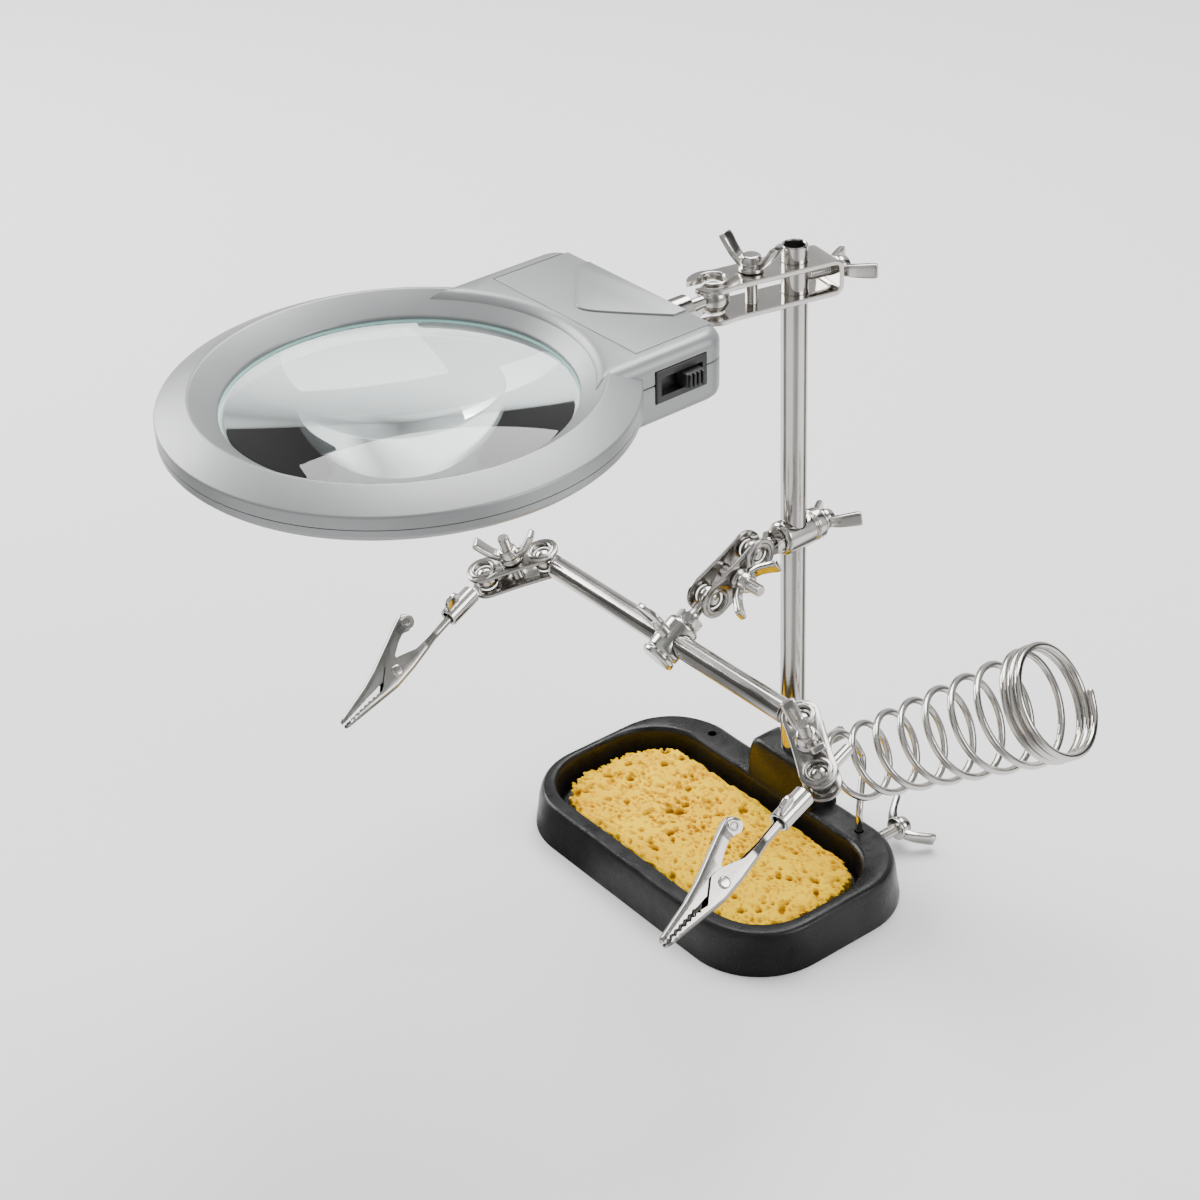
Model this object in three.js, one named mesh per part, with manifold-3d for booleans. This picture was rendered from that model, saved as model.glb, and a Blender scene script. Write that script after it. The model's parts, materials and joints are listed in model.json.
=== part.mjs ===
// Soldering helping-hands station: cast base with a sponge, a post, a lit magnifier,
// a cross arm with two crocodile clips, and a coiled iron holder.
// Millimetres, +Z up, +X along the base, +Y towards the post. The origin is the centre
// of the base's flat underside.
import * as THREE from "three";
import { mergeVertices } from "three/addons/utils/BufferGeometryUtils.js";
import Module from "manifold-3d";

const wasm = await Module();
wasm.setup();

// ---------------------------------------------------------------- driving dimensions
const GAP = 0.3; // clearance between pieces that touch
const BASE = { length: 150, width: 89.5, height: 18, corner: 29, draft: 3 };
const POCKET = { length: 140, width: 69, corner: 24.4, floor: 4, x: -1, y: -3.3 };
const SPONGE = { length: 130, width: 60, corner: 20, top: 12.5 };
const LEG = { x: 45.2, y: 38, wire: 1.4, lock: 9 }; // the hole that holds the iron spring's leg
const BOSS = { width: 37, front: 33, back: 47, top: 37, lock: 30 };
const POST = { x: 3.5, y: 40, radius: 5, bore: 4, bottom: 6, top: 255.8 };
const SCREW = 2.4; // radius of every clamp thread
const BALL = 4.6;
const WING = { reach: 13, height: 12.2, width: 5.2 }; // one ear of a wing head
const PLATE = { inner: 3.4, outer: 5, width: 14, hole: 3.6 };
const BRACKET = {
  yaw: -11.1, mid: 242.5, gap: 5, thick: 2, half: 8.5, nose: 9.6, back: 16, screw: -18, slot: 3.2,
};
const MAG_BALL = { radius: 6, reach: 33.6, fromRing: 135.8, below: 15.8 };
const MAG_TILT = [1.2, 0.5, 1.6]; // degrees: yaw, pitch and roll of the magnifier
const RING = { outer: 79.2, ridge: 67.8, opening: 58.8, shoulder: -5.3, lip: -6.8 };
const SHELL = { parting: -9.8, ringBottom: -14.7, boxBottom: -25, wall: 2 };
const BOX = { half: 46, end: 103, corner: 9, chamfer: 4 };
const LENS = { rim: 61.7, over: 6.5, under: 6.5 }; // rim radius and the height of each dome
const LAMP = { x: 52.6, y: 44.2, radius: 2.4, flange: 3.3 };
const CELLS = { radius: 7.1, half: 25, z: -10.4, front: 75.7, rear: 90.3 };
const SWITCH = { from: 70, to: 92, low: -16.7, high: -5, depth: 8 };
const COVER = { half: 38.7, near: 68, far: 101, thick: 1.8 };
const ARM = { y: -21.2, z: 113, end: 77, radius: 4.5, bore: 3.5, fromBall: 9.2 };
const CLAMP = { z: 136.2, reach: 20.9 };
const LINK_B = [3.5, -2.8, 124.8]; // lower ball of the middle link
const CLIP = {
  length: 86, sleeve: [9, 24], pivot: 56, tail: 24.6, lower: 3.7, upper: 2.55, sheet: 0.75,
};
const COIL = { start: [43.9, 40.1, 50], axis: [0.771, 0.285, 0.57], pitch: 13.2, turns: 6.6, radius: 14, flare: 7.4 };
const MOUTH = { turns: 2.6, pitch: 3.3 }; // close turns at the coil's open end

// ---------------------------------------------------------------- finishes
const finish = (color, roughness, metalness) => ({ color, roughness, metalness });
const NICKEL = finish(0xc9c6c0, 0.22, 1);
const IRON = finish(0x1b1b1d, 0.45, 0.1);
const SPONGE_YELLOW = finish(0xf2c650, 0.95, 0);
const SILVER = finish(0xa3a5a8, 0.5, 0);
const BLACK = finish(0x151515, 0.5, 0);
const GLASS = finish(0xe8f4f2, 0.05, 0);
const CELL = finish(0x3a5d86, 0.4, 0.2);
const LED = finish(0xf5f5ea, 0.15, 0);

// ---------------------------------------------------------------- geometry helpers
const rad = THREE.MathUtils.degToRad;
const V = (x, y, z) => new THREE.Vector3(x, y, z);

/** Shared vertices, no collapsed triangles and outward faces, as a solid. */
function solid(geometry) {
  const bare = geometry.clone();
  bare.deleteAttribute("normal");
  bare.deleteAttribute("uv");
  const merged = mergeVertices(bare, 1e-4);
  const p = merged.attributes.position;
  const tris = [];
  let volume = 0;
  for (let i = 0; i < merged.index.count; i += 3) {
    const t = [0, 1, 2].map((k) => merged.index.getX(i + k));
    if (t[0] === t[1] || t[1] === t[2] || t[0] === t[2]) continue;
    const [a, b, c] = t.map((k) => new THREE.Vector3().fromBufferAttribute(p, k));
    volume += a.dot(b.cross(c));
    tris.push(t);
  }
  const order = volume < 0 ? tris.map(([a, b, c]) => [a, c, b]) : tris;
  const mesh = new wasm.Mesh({
    numProp: 3,
    vertProperties: new Float32Array(p.array),
    triVerts: new Uint32Array(order.flat()),
  });
  return new wasm.Manifold(mesh);
}

const join = (...parts) => parts.reduce((a, b) => a.add(b));
const cut = (body, ...tools) => tools.reduce((a, b) => a.subtract(b), body);

function geometryOf(manifold) {
  const mesh = manifold.getMesh();
  const g = new THREE.BufferGeometry();
  g.setAttribute("position", new THREE.BufferAttribute(new Float32Array(mesh.vertProperties), 3));
  g.setIndex(new THREE.BufferAttribute(new Uint32Array(mesh.triVerts), 1));
  g.computeVertexNormals();
  return g;
}

/** A closed body of revolution about the line from a to b; profile is [[r, along], ...]. */
function turned(profile, a, b, sides = 14) {
  const g = new THREE.LatheGeometry(profile.map(([r, y]) => new THREE.Vector2(r, y)), sides);
  const from = V(...a);
  const dir = V(...b).sub(from).normalize();
  g.applyQuaternion(new THREE.Quaternion().setFromUnitVectors(V(0, 1, 0), dir));
  g.translate(from.x, from.y, from.z);
  return solid(g);
}

/** A plain round rod of radius r from a to b. */
function rod(a, b, r, sides = 14) {
  const length = V(...b).distanceTo(V(...a));
  return turned([[0, 0], [r, 0], [r, length], [0, length]], a, b, sides);
}

/** A round tube from a to b, open at both ends. */
function pipe(a, b, outer, inner, sides = 20) {
  const length = V(...b).distanceTo(V(...a));
  return turned([[inner, 0], [outer, 0], [outer, length], [inner, length], [inner, 0]], a, b, sides);
}

function ball(centre, r, sides = 14) {
  const g = new THREE.SphereGeometry(r, sides, 8);
  g.translate(...centre);
  return solid(g);
}

function block(x0, x1, y0, y1, z0, z1) {
  const g = new THREE.BoxGeometry(x1 - x0, y1 - y0, z1 - z0);
  g.translate((x0 + x1) / 2, (y0 + y1) / 2, (z0 + z1) / 2);
  return solid(g);
}

/** A square bar along X or Y whose diamond section trims an edge back by leg millimetres. */
function edgeTrim(along, length, at, leg) {
  const side = leg * Math.SQRT2;
  const size = along === "x" ? [length, side, side] : [side, length, side];
  const g = new THREE.BoxGeometry(...size);
  if (along === "x") g.rotateX(Math.PI / 4);
  else g.rotateY(Math.PI / 4);
  g.translate(...at);
  return solid(g);
}

/** Rounded rectangle outline centred on (x, y). */
function roundedRect(length, width, corner, x = 0, y = 0) {
  const s = new THREE.Shape();
  const [hx, hy] = [length / 2 - corner, width / 2 - corner];
  s.absarc(x + hx, y + hy, corner, 0, Math.PI / 2);
  s.absarc(x - hx, y + hy, corner, Math.PI / 2, Math.PI);
  s.absarc(x - hx, y - hy, corner, Math.PI, 1.5 * Math.PI);
  s.absarc(x + hx, y - hy, corner, 1.5 * Math.PI, 2 * Math.PI);
  return s;
}

function outline(points) {
  return new THREE.Shape(points.map(([x, y]) => new THREE.Vector2(x, y)));
}

/** The shape raised from z0 to z1; foot widens the lower outline by these factors. */
function raised(shape, z0, z1, segments = 6, foot = [1, 1]) {
  const how = { depth: z1 - z0, bevelEnabled: false, curveSegments: segments };
  const g = new THREE.ExtrudeGeometry(shape, how);
  const p = g.attributes.position;
  for (let i = 0; i < p.count; i += 1) {
    if (p.getZ(i) < 1e-6) p.setXY(i, p.getX(i) * foot[0], p.getY(i) * foot[1]);
  }
  g.translate(0, 0, z0);
  return solid(g);
}

/** A side profile in the X-Z plane, carried from y0 to y1. */
function sideways(points, y0, y1) {
  const g = new THREE.ExtrudeGeometry(outline(points), { depth: y1 - y0, bevelEnabled: false });
  g.rotateX(Math.PI / 2);
  g.translate(0, y1, 0);
  return solid(g);
}

const station = new THREE.Group();

/** Adds a named piece to a group with its finish. */
function piece(name, manifold, look, group = station) {
  const mesh = new THREE.Mesh(geometryOf(manifold), new THREE.MeshStandardMaterial(look));
  mesh.name = name;
  group.add(mesh);
  return mesh;
}

/** A group whose local axes are the given unit vectors, with its origin at a point. */
function frameAt(origin, xAxis, yAxis, zAxis, parent = station) {
  const g = new THREE.Group();
  g.quaternion.setFromRotationMatrix(new THREE.Matrix4().makeBasis(xAxis, yAxis, zAxis));
  g.position.copy(origin);
  parent.add(g);
  return g;
}

/** Axes with z along one direction and x as near as possible to another. */
function axesFrom(zDir, xHint) {
  const z = zDir.clone().normalize();
  const x = xHint.clone().addScaledVector(z, -xHint.dot(z)).normalize();
  return [x, z.clone().cross(x), z];
}

/** A head with two flared wings on a hub, standing on z = 0 and pointing along +z. */
function wingHead(bore = 0) {
  const hub = bore
    ? [[bore, 0], [4.8, 0], [4.8, 1.4], [3.9, 2], [3.7, 6], [bore, 6], [bore, 0]]
    : [[0, 0], [4.8, 0], [4.8, 1.4], [3.9, 2], [3.7, 6], [0, 6]];
  const { reach, height, width } = WING;
  const wing = [
    [2.6, 0.9], [5.6, 1.5], [reach - 4.4, 4.3], [reach, height - 1.4], [reach - 1.8, height],
    [reach - 6.1, 6.6], [4.9, 4.9], [2.6, 4.6],
  ];
  const left = wing.map(([x, z]) => [-x, z]).reverse();
  const head = join(
    turned(hub, [0, 0, 0], [0, 0, 1], 12),
    sideways(wing, -width / 2, width / 2),
    sideways(left, -width / 2, width / 2),
  );
  return bore ? cut(head, rod([0, 0, -1], [0, 0, 7], bore, 12)) : head;
}

/** Wing screw: its head plus a threaded shaft that runs down to z = -length. */
const wingScrew = (length) => join(wingHead(), rod([0, 0, -length], [0, 0, 0.5], SCREW, 10));

/** Thumb screw with a flat oval spade, in the X-Z plane, on a threaded shaft. */
function spadeScrew(length, radius, spadeHalf, spadeHeight, neck) {
  const spade = [];
  for (let k = 0; k <= 10; k += 1) {
    const t = Math.PI * (1.25 - 1.5 * (k / 10));
    const z = neck + spadeHeight * (0.47 + 0.53 * Math.sin(t));
    spade.push([spadeHalf * Math.cos(t), z]);
  }
  const shank = rod([0, 0, -length], [0, 0, neck + 1.5], radius, 10);
  return join(shank, sideways(spade.reverse(), -0.9, 0.9));
}

/** Hex nut from z = 0 to z = height with a clear bore. */
function hexNut(across, height, bore) {
  const body = rod([0, 0, 0], [0, 0, height], across / Math.sqrt(3), 6);
  return cut(body, rod([0, 0, -1], [0, 0, height + 1], bore, 12));
}

/** Ball at the origin with its neck running along -z to a shaft end at z = -reach. */
function ballStud(reach, shaft = SCREW, neck = 2, r = BALL) {
  return join(
    ball([0, 0, 0], r),
    rod([0, 0, -reach * 0.55], [0, 0, -r * 0.6], neck, 12),
    rod([0, 0, -reach], [0, 0, -reach * 0.5], shaft, 12),
  );
}

// ---------------------------------------------------------------- base and sponge
{
  const b = BASE;
  const foot = [1 + (2 * b.draft) / b.length, 1 + (2 * b.draft) / b.width];
  const body = raised(roundedRect(b.length, b.width, b.corner), 0, b.height, 7, foot);
  const pocketPlan = roundedRect(POCKET.length, POCKET.width, POCKET.corner, POCKET.x, POCKET.y);
  const pocket = raised(pocketPlan, POCKET.floor, b.height + 1, 7);
  const half = BOSS.width / 2;
  const rightSide = [
    [half + 1.5, 0.5], [half + 1.5, b.height], [half - 1, BOSS.top - 3], [half - 5, BOSS.top],
  ];
  const leftSide = rightSide.map(([x, z]) => [-x, z]).reverse();
  const bossProfile = [...rightSide, ...leftSide];
  const boss = sideways(bossProfile.map(([x, z]) => [x + POST.x, z]), BOSS.front - 1.8, BOSS.back);
  const onPost = (z) => [POST.x, POST.y, z];
  const postHole = rod(onPost(POST.bottom - GAP), onPost(BOSS.top + 5), POST.radius + GAP, 20);
  const lockHole = rod(onPost(BOSS.lock), [POST.x, BOSS.back + 5, BOSS.lock], SCREW + GAP, 12);
  const legHoles = [LEG.x, -LEG.x].map((x) => rod([x, LEG.y, 3], [x, LEG.y, 30], LEG.wire + GAP, 10));
  const legLock = rod([LEG.x, LEG.y, LEG.lock], [LEG.x, LEG.y + 22, LEG.lock], SCREW + GAP, 12);
  piece("base", cut(join(cut(body, pocket), boss), postHole, lockHole, legLock, ...legHoles), IRON);
  const spongePlan = roundedRect(SPONGE.length, SPONGE.width, SPONGE.corner, POCKET.x, POCKET.y);
  piece("sponge", raised(spongePlan, POCKET.floor + GAP, SPONGE.top, 6), SPONGE_YELLOW);
}

/** Places a screw or nut: its axis points along dir from a point, wings turned to spread. */
function place(name, shape, at, dir, spread, look = NICKEL) {
  const g = frameAt(V(...at), ...axesFrom(V(...dir), V(...spread)));
  return piece(name, shape, look, g);
}

// ---------------------------------------------------------------- post and its lock
{
  const { x, y, bottom, top, radius, bore } = POST;
  piece("post", pipe([x, y, bottom], [x, y, top], radius, bore), NICKEL);
  const lockAt = [x, BOSS.back + 2.6, BOSS.lock];
  place("post_lock_screw", wingScrew(4.2), lockAt, [0, 1, 0], [0.68, 0, 0.73]);
  place("leg_lock_screw", wingScrew(18), [LEG.x, LEG.y + 20, LEG.lock], [0, 1, 0], [0.92, 0, -0.38]);
}

// ---------------------------------------------------------------- iron holder spring
{
  const axis = V(...COIL.axis).normalize();
  const start = V(...COIL.start);
  const down = V(0, 0, -1).addScaledVector(axis, axis.z).normalize();
  const side = axis.clone().cross(down);
  const points = [4, BASE.height, 29].map((z) => V(LEG.x, LEG.y, z));
  const open = COIL.turns;
  const steps = 16;
  for (let k = 3; k <= (open + 1 + MOUTH.turns) * steps; k += 1) {
    const turn = k / steps - 1;
    const wound = Math.min(turn, open);
    const radius = COIL.radius + COIL.flare * Math.min(1, Math.max(0, wound / open));
    const along = COIL.pitch * wound + MOUTH.pitch * Math.max(0, turn - open);
    const angle = 2 * Math.PI * turn;
    const p = start.clone().addScaledVector(axis, along);
    p.addScaledVector(down, radius * Math.cos(angle)).addScaledVector(side, radius * Math.sin(angle));
    points.push(p);
  }
  const path = new THREE.CatmullRomCurve3(points);
  const wire = new THREE.Shape();
  wire.absarc(0, 0, LEG.wire, 0, 2 * Math.PI);
  const how = { steps: points.length + 3, extrudePath: path, curveSegments: 3 };
  piece("iron_spring", solid(new THREE.ExtrudeGeometry(wire, how)), NICKEL);
}

// ---------------------------------------------------------------- top bracket
const bracketTurn = V(0, 0, 1);
const bracket = frameAt(
  V(POST.x, POST.y, BRACKET.mid),
  V(1, 0, 0).applyAxisAngle(bracketTurn, rad(BRACKET.yaw)),
  V(0, 1, 0).applyAxisAngle(bracketTurn, rad(BRACKET.yaw)),
  V(0, 0, 1),
);
{
  const { gap, thick, half, nose, back, screw, slot } = BRACKET;
  const top = gap + thick;
  const bent = cut(
    block(-12, 12, -50, back, -top, top),
    block(-13, 13, -51, back - thick, -gap, gap),
    edgeTrim("x", 30, [0, back, top], 2.4),
    edgeTrim("x", 30, [0, back, -top], 2.4),
  );
  const { reach } = MAG_BALL;
  const plan = join(
    block(-half, half, -reach, back + 1, -9, 9),
    rod([0, -reach, -9], [0, -reach, 9], nose, 24),
  );
  const drill = (y, radius, sides) => rod([0, y, -10], [0, y, 10], radius, sides);
  const holes = [
    drill(0, POST.radius + GAP, 20),
    drill(-reach, 4.3, 16),
    drill(screw, SCREW + GAP, 12),
    rod([0, 8, 0], [0, 20, 0], SCREW + GAP, 12),
    block(-slot, slot, -reach - nose - 1, -reach, -10, 10),
  ];
  piece("top_bracket", cut(bent.intersect(plan), ...holes), NICKEL, bracket);
  const ballAxes = axesFrom(V(0, 0, 1), V(0.92, 0.39, 0));
  const ballScrew = frameAt(V(0, screw, top + GAP), ...ballAxes, bracket);
  piece("bracket_ball_screw", wingScrew(15), NICKEL, ballScrew);
  const endAxes = axesFrom(V(0, 1, 0), V(0.998, 0, 0.06));
  const endScrew = frameAt(V(0, back + GAP, 0), ...endAxes, bracket);
  piece("bracket_end_screw", wingScrew(back - POST.radius - 0.4), NICKEL, endScrew);
}

// ---------------------------------------------------------------- magnifier
bracket.updateMatrixWorld(true);
const magBall = V(0, -MAG_BALL.reach, 0).applyMatrix4(bracket.matrixWorld);
const magnifier = new THREE.Group();
magnifier.rotation.set(rad(MAG_TILT[1]), rad(MAG_TILT[2]), rad(MAG_TILT[0]), "ZXY");
magnifier.position.copy(magBall).sub(
  V(0, MAG_BALL.fromRing, -MAG_BALL.below).applyEuler(magnifier.rotation));
station.add(magnifier);
{
  const { outer, ridge, opening, shoulder, lip } = RING;
  const { parting, ringBottom, boxBottom, wall } = SHELL;
  const up = [0, 0, 1];
  const zero = [0, 0, 0];
  const segments = 56;
  const seam = GAP / 2;
  const lensTop = lip - 1.3;
  const lensFoot = parting - 1.2;
  const boxPlan = (inset) => {
    const half = BOX.half - inset;
    const flat = BOX.half - BOX.corner + 2 - inset * 0.4;
    const [end, turn] = [BOX.end - inset, BOX.end - BOX.corner];
    return outline([[-half, 45], [half, 45], [half, turn], [flat, end], [-flat, end], [-half, turn]]);
  };
  const boxEdges = [-1, 1].map((sign) => edgeTrim("y", 90, [sign * BOX.half, 85, 0], BOX.chamfer));
  const keepOut = (r, z0, z1) => rod([0, 0, z0], [0, 0, z1], r, segments);
  const topSection = [
    [outer, parting + seam], [outer, shoulder], [ridge, 0], [opening, lip], [opening, lensTop],
    [LENS.rim + 0.5, lensTop], [64.5, -4.6], [ridge, -2.2], [outer - wall, shoulder - 1.4],
    [outer - wall, parting + seam], [outer, parting + seam],
  ];
  const topRing = turned(topSection, zero, up, segments);
  const topBox = cut(raised(boxPlan(0), parting + seam, 0), keepOut(ridge - 0.4, -20, 1), ...boxEdges);
  const nearCut = block(-50, 50, 40, 47, -40, 1);
  const topBlank = raised(boxPlan(wall + 1.5), parting - 1, -wall);
  const topRoom = cut(topBlank, keepOut(ridge + 0.7, -20, 1), nearCut);
  const rail = (s) => block(s * 38.5 - 2.5, s * 38.5 + 2.5, COVER.near, BOX.end - 1.5, -3.9, -1.5);
  const across = COVER.half + GAP;
  const coverHole = block(-across, across, COVER.near - GAP, COVER.far + 5, -COVER.thick - GAP, 1);
  const switchSlot = block(
    BOX.half - SWITCH.depth - GAP, BOX.half + 3,
    SWITCH.from - GAP, SWITCH.to + GAP,
    SWITCH.low - GAP, SWITCH.high + GAP,
  );
  const topShell = join(cut(join(topRing, topBox), topRoom), rail(-1), rail(1));
  piece("magnifier_top_shell", cut(topShell, coverHole, switchSlot), SILVER, magnifier);

  const bottomSection = [
    [outer, parting - seam], [outer, ringBottom + 1.5], [outer - 1.5, ringBottom], [60.3, ringBottom],
    [opening, ringBottom + 1.5], [opening, lensFoot], [60.8, lensFoot], [60.8, ringBottom + wall],
    [outer - wall, ringBottom + wall], [outer - wall, parting - seam], [outer, parting - seam],
  ];
  const bottomRing = turned(bottomSection, zero, up, segments);
  const bottomBlank = raised(boxPlan(0), boxBottom, parting - seam);
  const clearOfLens = keepOut(opening + 4, ringBottom + wall, 1);
  const bottomBox = cut(bottomBlank, keepOut(opening + 1.5, -40, 1), clearOfLens);
  const roomBlank = raised(boxPlan(wall), boxBottom + wall, parting + 1);
  const bottomRoom = cut(roomBlank, keepOut(opening + 4, -40, 1), nearCut);
  const neckAt = (y) => [0, y, -MAG_BALL.below];
  const neckHole = rod(neckAt(BOX.end - 4), neckAt(BOX.end + 5), 2.8, 14);
  const ledHole = (s) => rod([s * LAMP.x, LAMP.y, -16], [s * LAMP.x, LAMP.y, -10], LAMP.radius + 0.4, 12);
  const bottomShell = join(bottomRing, bottomBox);
  const bottomCuts = [bottomRoom, switchSlot, neckHole, ledHole(-1), ledHole(1)];
  piece("magnifier_bottom_shell", cut(bottomShell, ...bottomCuts), SILVER, magnifier);

  // cover: flat plate with a raised rounded-triangle thumb tab
  const cover = block(-COVER.half, COVER.half, COVER.near, COVER.far, -COVER.thick, 0);
  const tabEnd = COVER.far - 0.5;
  const tabPlan = outline([[-3, 76.2], [-27, tabEnd], [27, tabEnd], [3, 76.2], [0, 75]]);
  const tab = raised(tabPlan, -0.5, 0.7);
  piece("battery_cover", join(cover, tab), SILVER, magnifier);

  // lens: two shallow spherical caps on a flat rim that sits between the shells
  const capEdge = opening - 0.5;
  const edgeTop = lensTop - GAP;
  const edgeFoot = lensFoot + GAP;
  const dome = (r) => 1 - (r / capEdge) ** 2;
  const radii = [0, 16, 32, 46, capEdge];
  const under = radii.map((r) => [r, edgeFoot - LENS.under * dome(r)]);
  const over = radii.map((r) => [r, edgeTop + LENS.over * dome(r)]).reverse();
  const lensSection = [...under, [LENS.rim, edgeFoot], [LENS.rim, edgeTop], ...over];
  piece("lens", turned(lensSection, zero, up, segments), GLASS, magnifier);

  // batteries lie across the box under the cover, between two contact plates
  const { half: cellEnd, z: cellZ } = CELLS;
  const cell = (y) => join(
    rod([-cellEnd, y, cellZ], [cellEnd - 1, y, cellZ], CELLS.radius, 16),
    rod([cellEnd - 2, y, cellZ], [cellEnd + 0.3, y, cellZ], 2.7, 10),
  );
  piece("battery_front", cell(CELLS.front), CELL, magnifier);
  piece("battery_rear", cell(CELLS.rear), CELL, magnifier);
  piece("battery_contact_positive", block(26, 26.8, 72, 99, -17, -4), NICKEL, magnifier);
  piece("battery_contact_negative", block(-26.6, -25.8, 72, 99, -17, -4), NICKEL, magnifier);

  // slide switch in the right-hand side wall, with its lever outside
  const { from, to, low, high, depth } = SWITCH;
  const wallAt = BOX.half;
  const bezel = block(wallAt - depth, wallAt + 0.6, from, to, low, high);
  const window = block(wallAt - 3, wallAt + 2, from + 2, to - 2, low + 2.5, high - 2.5);
  piece("switch_body", cut(bezel, window), BLACK, magnifier);
  const leverLow = low + 3.3;
  const leverHigh = high - 3.3;
  const lever = block(wallAt - 2.5, wallAt + 3.6, 80.6, 88.6, leverLow, leverHigh);
  const rib = (k) => {
    const at = 81.4 + 1.7 * k;
    return block(wallAt + 3.4, wallAt + 4.4, at, at + 0.9, leverLow, leverHigh);
  };
  piece("switch_slider", join(lever, ...[0, 1, 2, 3].map(rib)), BLACK, magnifier);

  // lamps: domed studs with a flange, in holes through the ring's underside
  [-1, 1].forEach((s) => {
    const at = (z) => [s * LAMP.x, LAMP.y, z];
    const stem = rod(at(-15), at(-11.5), LAMP.radius, 12);
    const led = join(stem, ball(at(-15), LAMP.radius, 12), rod(at(-12.4), at(-11.2), LAMP.flange, 12));
    piece(s < 0 ? "led_left" : "led_right", led, LED, magnifier);
  });

  const studAt = V(0, MAG_BALL.fromRing, -MAG_BALL.below);
  const studFrame = frameAt(studAt, V(1, 0, 0), V(0, 0, -1), V(0, 1, 0), magnifier);
  const inBox = MAG_BALL.fromRing - BOX.end;
  const stud = join(
    ballStud(inBox + 2, SCREW, 2.4, MAG_BALL.radius),
    rod([0, 0, -inBox + 0.4], [0, 0, -12.5], 5.2, 16),
    rod([0, 0, -inBox - 3.4], [0, 0, -inBox + 1], 2.5, 12),
  );
  piece("magnifier_ball_stud", stud, NICKEL, studFrame);
}

// ---------------------------------------------------------------- clamps for post and arm
/** Barrel clamp about a round bar: local y points to the ball, local x lies across. */
function clampBlock(barRadius, alongBar, flange) {
  const body = turned([[0, 0], [5.4, 0], [6.9, 1.4], [6.9, 15], [0, 15]], [0, -7, 0], [0, 1, 0], 18);
  const end = flange ? rod([0, -9.6, 0], [0, -6.5, 0], 7, 18) : rod([0, -13, 0], [0, -6, 0], 6.6, 18);
  const bar = alongBar === "x" ? [12, 0, 0] : [0, 0, 12];
  const bore = rod(bar.map((v) => -v), bar, barRadius + GAP, 20);
  return cut(join(body, end), bore, rod([0, 1, 0], [0, 12, 0], SCREW + GAP, 12));
}

/** Ball stud screwed into a clamp, with its lock nut; local y points to the ball. */
function clampStud(prefix, group, reach, barRadius) {
  const g = frameAt(V(0, reach, 0), V(1, 0, 0), V(0, 0, -1), V(0, 1, 0), group);
  piece(`${prefix}_ball_stud`, ballStud(reach - barRadius - 0.4, SCREW, 2.2), NICKEL, g);
  const nut = frameAt(V(0, 8 + GAP, 0), V(1, 0, 0), V(0, 0, -1), V(0, 1, 0), group);
  piece(`${prefix}_lock_nut`, hexNut(9.5, 3.6, SCREW + GAP), NICKEL, nut);
}

const clampFrame = frameAt(V(POST.x, POST.y, CLAMP.z), V(-1, 0, 0), V(0, -1, 0), V(0, 0, 1));
{
  const flat = block(-8, 8, -14, 10, -6, 6);
  const lock = rod([0, -14, 0], [0, 0, 0], SCREW + GAP, 12);
  const shape = cut(clampBlock(POST.radius, "z", false).intersect(flat), lock);
  piece("post_clamp_block", shape, NICKEL, clampFrame);
  clampStud("post_clamp", clampFrame, CLAMP.reach, POST.radius);
  const screw = frameAt(V(0, -13 - GAP, 0), ...axesFrom(V(0, -1, 0), V(-0.983, 0, 0.18)), clampFrame);
  piece("post_clamp_screw", wingScrew(7.8), NICKEL, screw);
}

// ---------------------------------------------------------------- swivel links
/** Two plates that grip a ball at each end; local x runs ball to ball, z is the bolt's axis. */
function link(prefix, from, to, normal, wings, pitch) {
  const x = to.clone().sub(from).normalize();
  const z = normal.clone().addScaledVector(x, -normal.dot(x)).normalize();
  const g = frameAt(from, x, z.clone().cross(x), z);
  const { inner, outer, width, hole } = PLATE;
  const plan = new THREE.Shape();
  plan.absarc(0, 0, width / 2, Math.PI / 2, 1.5 * Math.PI);
  plan.absarc(pitch, 0, width / 2, -Math.PI / 2, Math.PI / 2);
  const holes = [0, pitch].map((at) => rod([at, 0, -9], [at, 0, 9], hole, 16));
  holes.push(rod([pitch / 2, 0, -9], [pitch / 2, 0, 9], SCREW + GAP, 12));
  piece(`${prefix}_link_plate_outer`, cut(raised(plan, inner, outer, 7), ...holes), NICKEL, g);
  piece(`${prefix}_link_plate_inner`, cut(raised(plan, -outer, -inner, 7), ...holes), NICKEL, g);
  const mid = pitch / 2;
  const head = 2.8;
  const boltSection = [
    [0, 0], [3, 0.2], [4.4, 1.6], [4.4, head], [SCREW, head], [SCREW, 25], [2, 25.6], [0, 25.6],
  ];
  const bolt = turned(boltSection, [mid, 0, -outer - head - GAP], [mid, 0, 0], 12);
  piece(`${prefix}_link_bolt`, bolt, NICKEL, g);
  const nutAxes = axesFrom(V(0, 0, 1), V(Math.cos(wings), Math.sin(wings), 0));
  const nut = frameAt(V(mid, 0, outer + GAP), ...nutAxes, g);
  piece(`${prefix}_link_wing_nut`, wingHead(SCREW + GAP), NICKEL, nut);
}

const midFrom = V(POST.x, POST.y - CLAMP.reach, CLAMP.z);
const midTo = V(...LINK_B);
link("mid", midFrom, midTo, V(1, 0, 0), rad(10), midFrom.distanceTo(midTo));

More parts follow.
